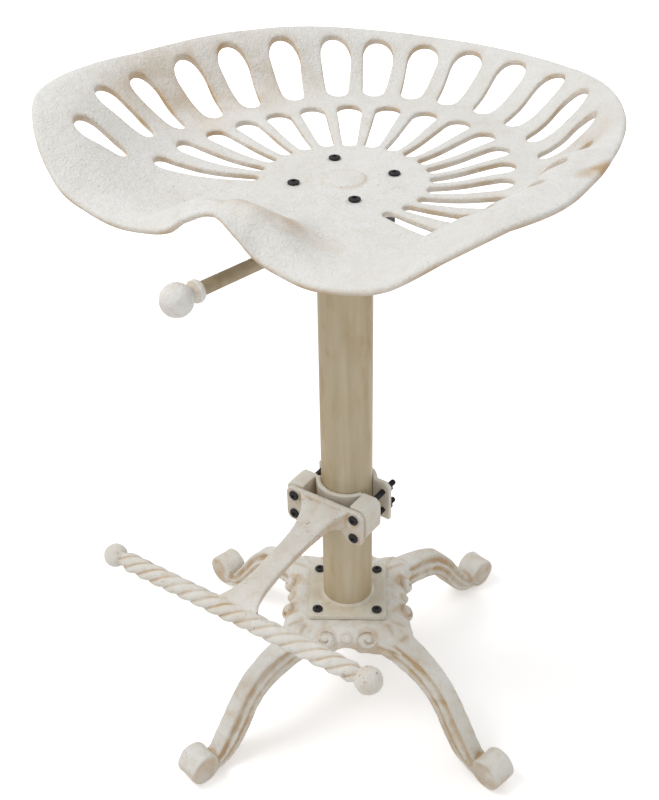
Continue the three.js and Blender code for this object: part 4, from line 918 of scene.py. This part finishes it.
# For each row of four upright screws: their circle, its turn, head and nut heights, and length
screwRows = dict(seat=(seat["screwRadius"], 0, 588.3, 578.6, 16.8),
                 base=(61.6 / 2**0.5, base["turn"], 118.6, 102.7, 23))
for i, q in enumerate(quarterTurns):
    for stem, (radius, turn, head, under, length) in screwRows.items():
        angle = q + np.radians(turn)
        shell = screwShell(ringOf(radius, angle, head), upright[1], length, screw["threaded"])
        addFastener(stem, "Screw", i + 1, shell, stem)
        addFastener(stem, "Nut", i + 1, nutShell(ringOf(radius, angle, under), upright[1]), stem)

# Clamp and footrest, in their own frame with the middle of the four screws at zero. The arm's rows are
# share of the way to the bar, then half width, top and underside as shares of the flange's.
clamp = dict(
    casting, grip=25.7, band=5, half=22, voxel=0.95, seed=21, uneven=0.00018, sideTanAndShade=0.32, underShade=0.2,
    block=[(27.5, -22), (38, -22), (47, -8), (47, 17), (42, 22), (27.5, 22)], blockY=(-35.7, -11),
    ear=[(23.9, -22), (42, -22), (42, 17), (37, 22), (23.9, 22)], earY=(12, 17), rearSeed=23,
)
footrest = dict(
    casting, height=246.8, front=-41, back=-36, half=45, top=19.5, bottom=-20.5, corner=8.46,
    archHalf=24, archRise=17, archShare=0.8, reach=184, drop=15.6, barRadius=6.9, barLobe=2.5, lead=67,
    barHalf=145, strand=0.85, neck=0.28, neckFrom=(-12, -3), balls=(11.5, 12.6), armLean=0.36,
    arm=[[0, 0.66, 0.93, -0.18], [0.05, 0.52, 0.8, -0.2], [0.12, 0.385, 0.58, -0.3], [0.22, 0.31, 0.3, -0.4],
         [0.36, 0.27, 0.15, -0.52], [0.55, 0.255, 0.02, -0.65], [0.74, 0.275, -0.12, -0.78],
         [0.86, 0.34, -0.22, -0.92], [0.94, 0.46, -0.32, -1.02], [1, 0.6, -0.45, -1.08]],
    voxel=0.98, seed=31, uneven=0.0003, sideTanAndShade=0.55, underShade=0.25,
    barFrom=7, barWashAndShade=0.25, barTint=0.75, tintOver=1.2, tintTo=9, tintBetween=(0.1, 0.62),
    screwsAt=(35.1, 11.1), headY=-41.3, nutY=17.3, screwLength=73, threaded=26,
)

for i, (side, level) in enumerate([(-1, -1), (-1, 1), (1, -1), (1, 1)]):
    x, z = footrest["screwsAt"]
    head, under = ([side * x, footrest[key], footrest["height"] + level * z] for key in ("headY", "nutY"))
    shell = screwShell(head, [0, -1, 0], footrest["screwLength"], footrest["threaded"])
    addFastener("clamp", "Screw", i + 1, shell, "footrest")
    addFastener("clamp", "Nut", i + 1, nutShell(under, [0, -1, 0]), "footrest")


def clampHalf(outline, near, far, meets, turn, look):  # a rectangle swept half round the tube, and two blocks
    grip, band, half = pick(clamp, "grip band half")
    start = np.degrees(np.arcsin(meets / grip))
    q = np.radians(np.linspace(turn + start, turn + 180 - start, 60))[:, None]
    ring = ringOf(np.array([grip, grip + band, grip + band, grip]), q, np.array([-half, -half, half, half]))
    blocks = [prismShell(np.array(outline) * [side, 1], (near, far)) for side in (-1, 1)]
    return raisedCasting([shellOf(ring)] + blocks, look)


def raisedCasting(shells, look):  # cast at the footrest's height
    return castPiece([(points + [0, 0, footrest["height"]], polygons) for points, polygons in shells], look)


def flangeShell():  # its corners are quarter circles, and a quadratic curve arches it between two ears
    w, top, bottom, corner, archHalf, near, far = pick(footrest, "half top bottom corner archHalf front back")
    ends = np.linspace(-w, -w + corner, 14)
    x = np.concatenate([ends, np.linspace(-w + corner, w - corner, 90)[1:-1], -ends[::-1]])
    over = np.clip(np.abs(x) - (w - corner), 0, corner)
    rounding = corner - np.sqrt(np.maximum(corner**2 - over**2, 0))
    control, crown = archHalf * footrest["archShare"], bottom + footrest["archRise"]
    edge = archHalf + corner / 2
    t = np.linspace(0, 1, 60)
    archX = edge * (1 - t) ** 2 + 2 * control * t * (1 - t)
    archZ = bottom * (1 - t) ** 2 + crown * (2 * t * (1 - t) + t**2)
    low = np.where(np.abs(x) < edge, np.interp(np.abs(x), archX[::-1], archZ[::-1]), bottom + rounding)
    high = top - rounding
    ring = [np.stack([x, y + 0 * x, z], -1) for y, z in ((near, low), (far, low), (far, high), (near, high))]
    return shellOf(np.stack(ring, 1))


def armShell():  # a section along Y: width, top and underside follow a curve, the sides slope in by a sine
    way, half, top, bottom = curveThrough(footrest["arm"], 60).T
    front, reach, width, rise = pick(footrest, "front reach half top")
    y = front + 2.5 + (-reach - front - 2.5) * way
    w, high, low = half * width, top * rise, bottom * rise
    lean = 1 - footrest["armLean"] * np.sin(np.pi * np.clip(way, 0, 1)) ** 0.5
    right = [(w * lean, low), (w * (0.4 + 0.6 * lean), low + 0.25 * (high - low)), (w, high - 1.6),
             (w - 0.5, high - 0.5), (w - 1.6, high)]
    left = [(-x, z) for x, z in right[::-1]]
    return shellOf(np.stack([np.stack([x, y, z], -1) for x, z in left[-1:] + right + left[:-1]], 1))


def barShell():  # radius plus a power of the cosine of twice the angle: four strands wound along X, left-handed
    radius, lobe, power, half, thinner = pick(footrest, "barRadius barLobe strand barHalf neck")
    neck = half - 6
    x, q = np.linspace(-neck, neck, 420)[:, None], around(96)[None]
    start, end = (neck + more for more in footrest["neckFrom"])
    r = (radius + lobe * np.abs(np.cos(2 * q)) ** power) * (1 - thinner * smoothstep(np.abs(x), start, end))
    turn = q - 2 * np.pi * x / footrest["lead"]
    y, z = r * np.cos(turn) - footrest["reach"], r * np.sin(turn) - footrest["drop"]
    return shellOf(np.stack([x + 0 * q, y, z], -1))


def footrestCasting():  # one casting; on the bar the tan lies in the grooves, from the strands' own formula
    half, reach, drop, height = pick(footrest, "barHalf reach drop height")
    radius, lobe, lead = pick(footrest, "barRadius barLobe lead")
    ends = [ballShell([side * half, -reach, -drop], ball) for side, ball in zip((-1, 1), footrest["balls"])]
    points, quads, washAndShade = raisedCasting([flangeShell(), armShell(), barShell()] + ends, footrest)
    x, y, z = (points - [0, -reach, height - drop]).T
    strand = np.abs(np.cos(2 * (np.arctan2(z, y) + 2 * np.pi * x / lead)))
    onStrands = np.hypot(y, z) < radius + lobe * strand + footrest["tintOver"]
    onStrands = onStrands & (np.abs(x) < half - footrest["tintTo"])
    tint = onStrands * footrest["barTint"] * (1 - smoothstep(strand, *footrest["tintBetween"]))
    # on the bar only a share of the wash and painted shade is kept, and tan lies in the grooves
    washAndShade = np.maximum(np.where(y < footrest["barFrom"], footrest["barWashAndShade"], 1) * washAndShade, tint)
    return points, quads, washAndShade


frontHalf = clampHalf(clamp["block"], *clamp["blockY"], -clamp["blockY"][1], 180, clamp)
rearHalf = clampHalf(clamp["ear"], *clamp["earY"], clamp["earY"][0], 0, dict(clamp, seed=clamp["rearSeed"]))
addPiece("clampFront", frontHalf, "footrest", "cream_iron", "clamp_front", clampPaint, 50)
addPiece("clampRear", rearHalf, "footrest", "cream_iron", "clamp_rear", clampPaint, 50)
addPiece("footrestCasting", footrestCasting(), "footrest", "cream_iron", "footrest_casting", footrestPaint, 50)

# Release lever
lever = dict(
    turn=-5.7, pivot=34, height=548.4, rise=3.7, length=166.35, rod=6, barrel=8.5, barrelHalf=9, bore=3.4,
    rodStart=5.4, fingerY=(-27, -20, -8, 1.6, 2), tint=0.1,
    finger=[[-5, -2], [-4.4, -2.5], [4.4, -2.5], [5, -2], [5, 2], [4.4, 2.5], [-4.4, 2.5], [-5, 2]],
    knob=13.8, neck=[[8.3, -11.6], [7.3, -12.8], [7.0, -14.5], [7.0, -16], [7.3, -17]],
    collar=[[8.4, -17.8], [9.2, -18.2], [9.6, -19.1], [9.6, -21.4], [9.2, -22.5], [8.2, -23.2], [7.2, -23.5],
            [6.3, -23.5]],
    knobBore=[[6.3, -18], [6.3, -4.6], [0.5, -4.6]], knobTints=(0.6, 0.14), tintedFrom=-17.9, tintedTo=-10.5,
    waves=(9, 4.5), uneven=0.16,
)
tiltUp = np.radians(lever["rise"])
leverWay = turnedZ([[0, -np.cos(tiltUp), np.sin(tiltUp)]], lever["turn"])[0]
pivotAt = turnedZ([[0, -lever["pivot"], lever["height"]]], lever["turn"])[0]
across = turnedZ([[1, 0, 0]], lever["turn"])[0]


def leverRod():  # rod, the barrel round the pin and the flattened finger behind it
    r, end = lever["rod"], lever["length"] - lever["rodStart"]
    profile = [[r - 0.8, 0], [r, 0.8]] + [[r, s] for s in np.linspace(r, end - 1, 40)] + [[r - 0.8, end]]
    rod = shellOf(turnedRings(profile, 48, frameAt(pivotAt, leverWay)))
    b, h, bore = pick(lever, "barrel barrelHalf bore")
    profile = [[bore, -h], [b - 0.8, -h], [b, -h + 0.8], [b, h - 0.8], [b - 0.8, h], [bore, h]]
    barrel = shellOf(turnedRings(profile, 56, frameAt(pivotAt, across)), wrapRows=True)
    outline = np.array(lever["finger"]) + [0, lever["height"]]
    finger = turnedShell(prismShell(outline, lever["fingerY"]), lever["turn"])
    return gathered([tinted(shell, lever["tint"]) for shell in (rod, barrel, finger)])


def leverKnob():  # ball, neck and collar, turned round the lever and cast a little uneven
    q = np.radians(np.linspace(4, 140, 26))
    ball = lever["knob"] * np.column_stack([np.sin(q), np.cos(q)])
    profile = np.vstack([ball, lever["neck"], lever["collar"], lever["knobBore"]])[::-1]
    middle = pivotAt + leverWay * lever["length"]
    verts, faces = shellOf(turnedRings(profile, 72, frameAt(middle, leverWay)))
    rough = waves(verts, lever["waves"], 3)[:, None] * lever["uneven"]
    far = np.linalg.norm(verts - middle, axis=1, keepdims=True)
    verts = verts + (verts - middle) / np.maximum(far, 1) * rough * (far > 9)
    behind = (profile[:, 1] < lever["tintedTo"]) & (profile[:, 1] > lever["tintedFrom"])
    return verts, faces, np.concatenate([np.repeat(np.where(behind, *lever["knobTints"]), 72), [0.1, 0.1]])


addPiece("leverRod", leverRod(), "lever", "beige_steel", "lever_rod", leverPaint, 42)
addPiece("leverKnob", leverKnob(), "lever", "cream_iron", "lever_knob", knobPaint, 42)

# Smooth lathes for the gas spring's outside, the taper socket and the guide bush: radius and height
lathes = dict(
    gasCylinder=("seat", "black_paint", "gas_cylinder", blackPaint, [
        [11, 230], [13.4, 230], [14, 230.6], [14, 300], [14, 400], [14, 503], [13.22, 538], [12.8, 538.5],
        [2.9, 538.5], [2.9, 514.5], [0.4, 514.5], [0.4, 480], [11, 480]]),
    taperSocket=("seat", "black_paint", "taper_socket", blackPaint, [
        [14.3, 498.2], [17.6, 498.2], [18.6, 498.9], [19, 500], [19, 530], [19, 534.4], [18.4, 535.2],
        [14.3, 535.2]]),
    guideBush=("base", "black_nylon", "guide_bush", blackNylon, [
        [14.4, 413.8], [15, 413], [22.2, 413], [22.6, 413.6], [22.6, 493.3], [25, 493.3], [25.4, 493.7],
        [25.4, 495.2], [24.6, 496.1], [23.6, 496.3], [15.2, 496.3], [14.4, 495.7]]),
)
for name, (body, slotName, node, paint, profile) in lathes.items():
    shell = shellOf(turnedRings(profile, 96, frameAt(*upright)), wrapRows=True)
    addPiece(name, tinted(shell, screw["clean"]), body, slotName, node, paint, 35)

# CAD nodes that stay, with their finishes
carried = dict(
    black_nylon=(blackNylon, "cylinder_gland"), black_paint=(blackPaint, "bracket_channel bracket_plate"),
    bright_steel=(brightSteel, "piston_rod rod_clip thrust_bearing lever_pin release_button"),
)
for slotName, (paint, names) in carried.items():
    for node in pick(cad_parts, names):
        node.data.materials.clear()
        node.data.materials.append(paint)
print("pieces made")

# Studio: a pale floor and backdrop, the photo's camera, and soft lamps, each with its place, what it
# points at, its size and its power.
studio = dict(
    lamps=dict(keyLamp=((-1.2, -0.9, 2.6), (0, 0, 0.45), 1.4, 33),
               fillLamp=((1.9, -1.6, 1.2), (0, 0, 0.4), 1.8, 8),
               backLamp=((0.3, 2.2, 1.9), (0, 0, 0.4), 1.6, 8)),
    worldLight=(0.57, 1.0), floorHalf=6, floorZ=-0.0004, floorWhite=(0.9, 0.9, 0.9, 1),
    glowFrom=0.5, glowFull=1.8, glowLow=0.36, glowHigh=1.0,
    lens=55.404, turns=(35, -34.25, -1.03), cameraAt=(0.5416, -0.8011, 1.0201),
)
for name, (place, target, size, power) in studio["lamps"].items():
    light = bpy.data.lights.new(name, "AREA")
    light.shape, light.size, light.energy = "DISK", size, power
    holder = linked(name, light)
    holder.location = place
    holder.rotation_euler = (Vector(target) - Vector(place)).to_track_quat("-Z", "Y").to_euler()


def seenDirectly(tree):  # 1 for what the camera sees straight, in gloss or through glass, otherwise 0
    path = tree.nodes.new("ShaderNodeLightPath").outputs
    reflected = math(tree, "MAXIMUM", path["Is Glossy Ray"], path["Is Transmission Ray"])
    return math(tree, "MAXIMUM", path["Is Camera Ray"], reflected)


scene = bpy.context.scene
scene.world = bpy.data.worlds.new("studio")
scene.world.use_nodes = True
tree = scene.world.node_tree
tree.nodes.clear()
strength = ranged(tree, seenDirectly(tree), *studio["worldLight"])
background = put(tree, "ShaderNodeBackground", Color=(1, 1, 1, 1), Strength=strength)
put(tree, "ShaderNodeOutputWorld", Surface=background.outputs[0])

half, z = pick(studio, "floorHalf floorZ")
corners = [(x * half, y * half, z) for x, y in ((-1, -1), (1, -1), (1, 1), (-1, 1))]
floorMesh = bpy.data.meshes.new("floor")
floorMesh.from_pydata(corners, [], [(0, 1, 2, 3)])
floor = linked("floor", floorMesh)
material, tree = newTree("floorWhite")
shade = put(tree, "ShaderNodeBsdfDiffuse", Color=studio["floorWhite"]).outputs[0]
where = put(tree, "ShaderNodeTexCoord").outputs["Object"]
reach = put(tree, "ShaderNodeVectorMath", dict(operation="LENGTH"), i0=where).outputs["Value"]
start, full, low, high = pick(studio, "glowFrom glowFull glowLow glowHigh")
lift = put(tree, "ShaderNodeMapRange", dict(interpolation_type="SMOOTHSTEP"), Value=reach,
           From_Min=start, From_Max=full, To_Min=low, To_Max=high).outputs[0]
glow = put(tree, "ShaderNodeEmission", Strength=times(tree, seenDirectly(tree), lift)).outputs[0]
put(tree, "ShaderNodeOutputMaterial", Surface=put(tree, "ShaderNodeAddShader", i0=shade, i1=glow).outputs[0])
floorMesh.materials.append(material)

cameraData = bpy.data.cameras.new("photoCamera")
camera = linked("photoCamera", cameraData)
cameraData.lens, cameraData.sensor_width, cameraData.clip_end = studio["lens"], 36, 30
yaw, pitch, roll = np.radians(studio["turns"])
right = Vector((np.cos(yaw), np.sin(yaw), 0))
ahead = Vector((-np.sin(yaw) * np.cos(pitch), np.cos(yaw) * np.cos(pitch), np.sin(pitch)))
up = right.cross(ahead)
rolledRight, rolledUp = right * np.cos(roll) + up * np.sin(roll), up * np.cos(roll) - right * np.sin(roll)
axes = Matrix((rolledRight, rolledUp, -ahead)).transposed().to_4x4()
camera.matrix_world = Matrix.Translation(studio["cameraAt"]) @ axes
scene.camera = camera
scene.view_settings.view_transform = "Standard"
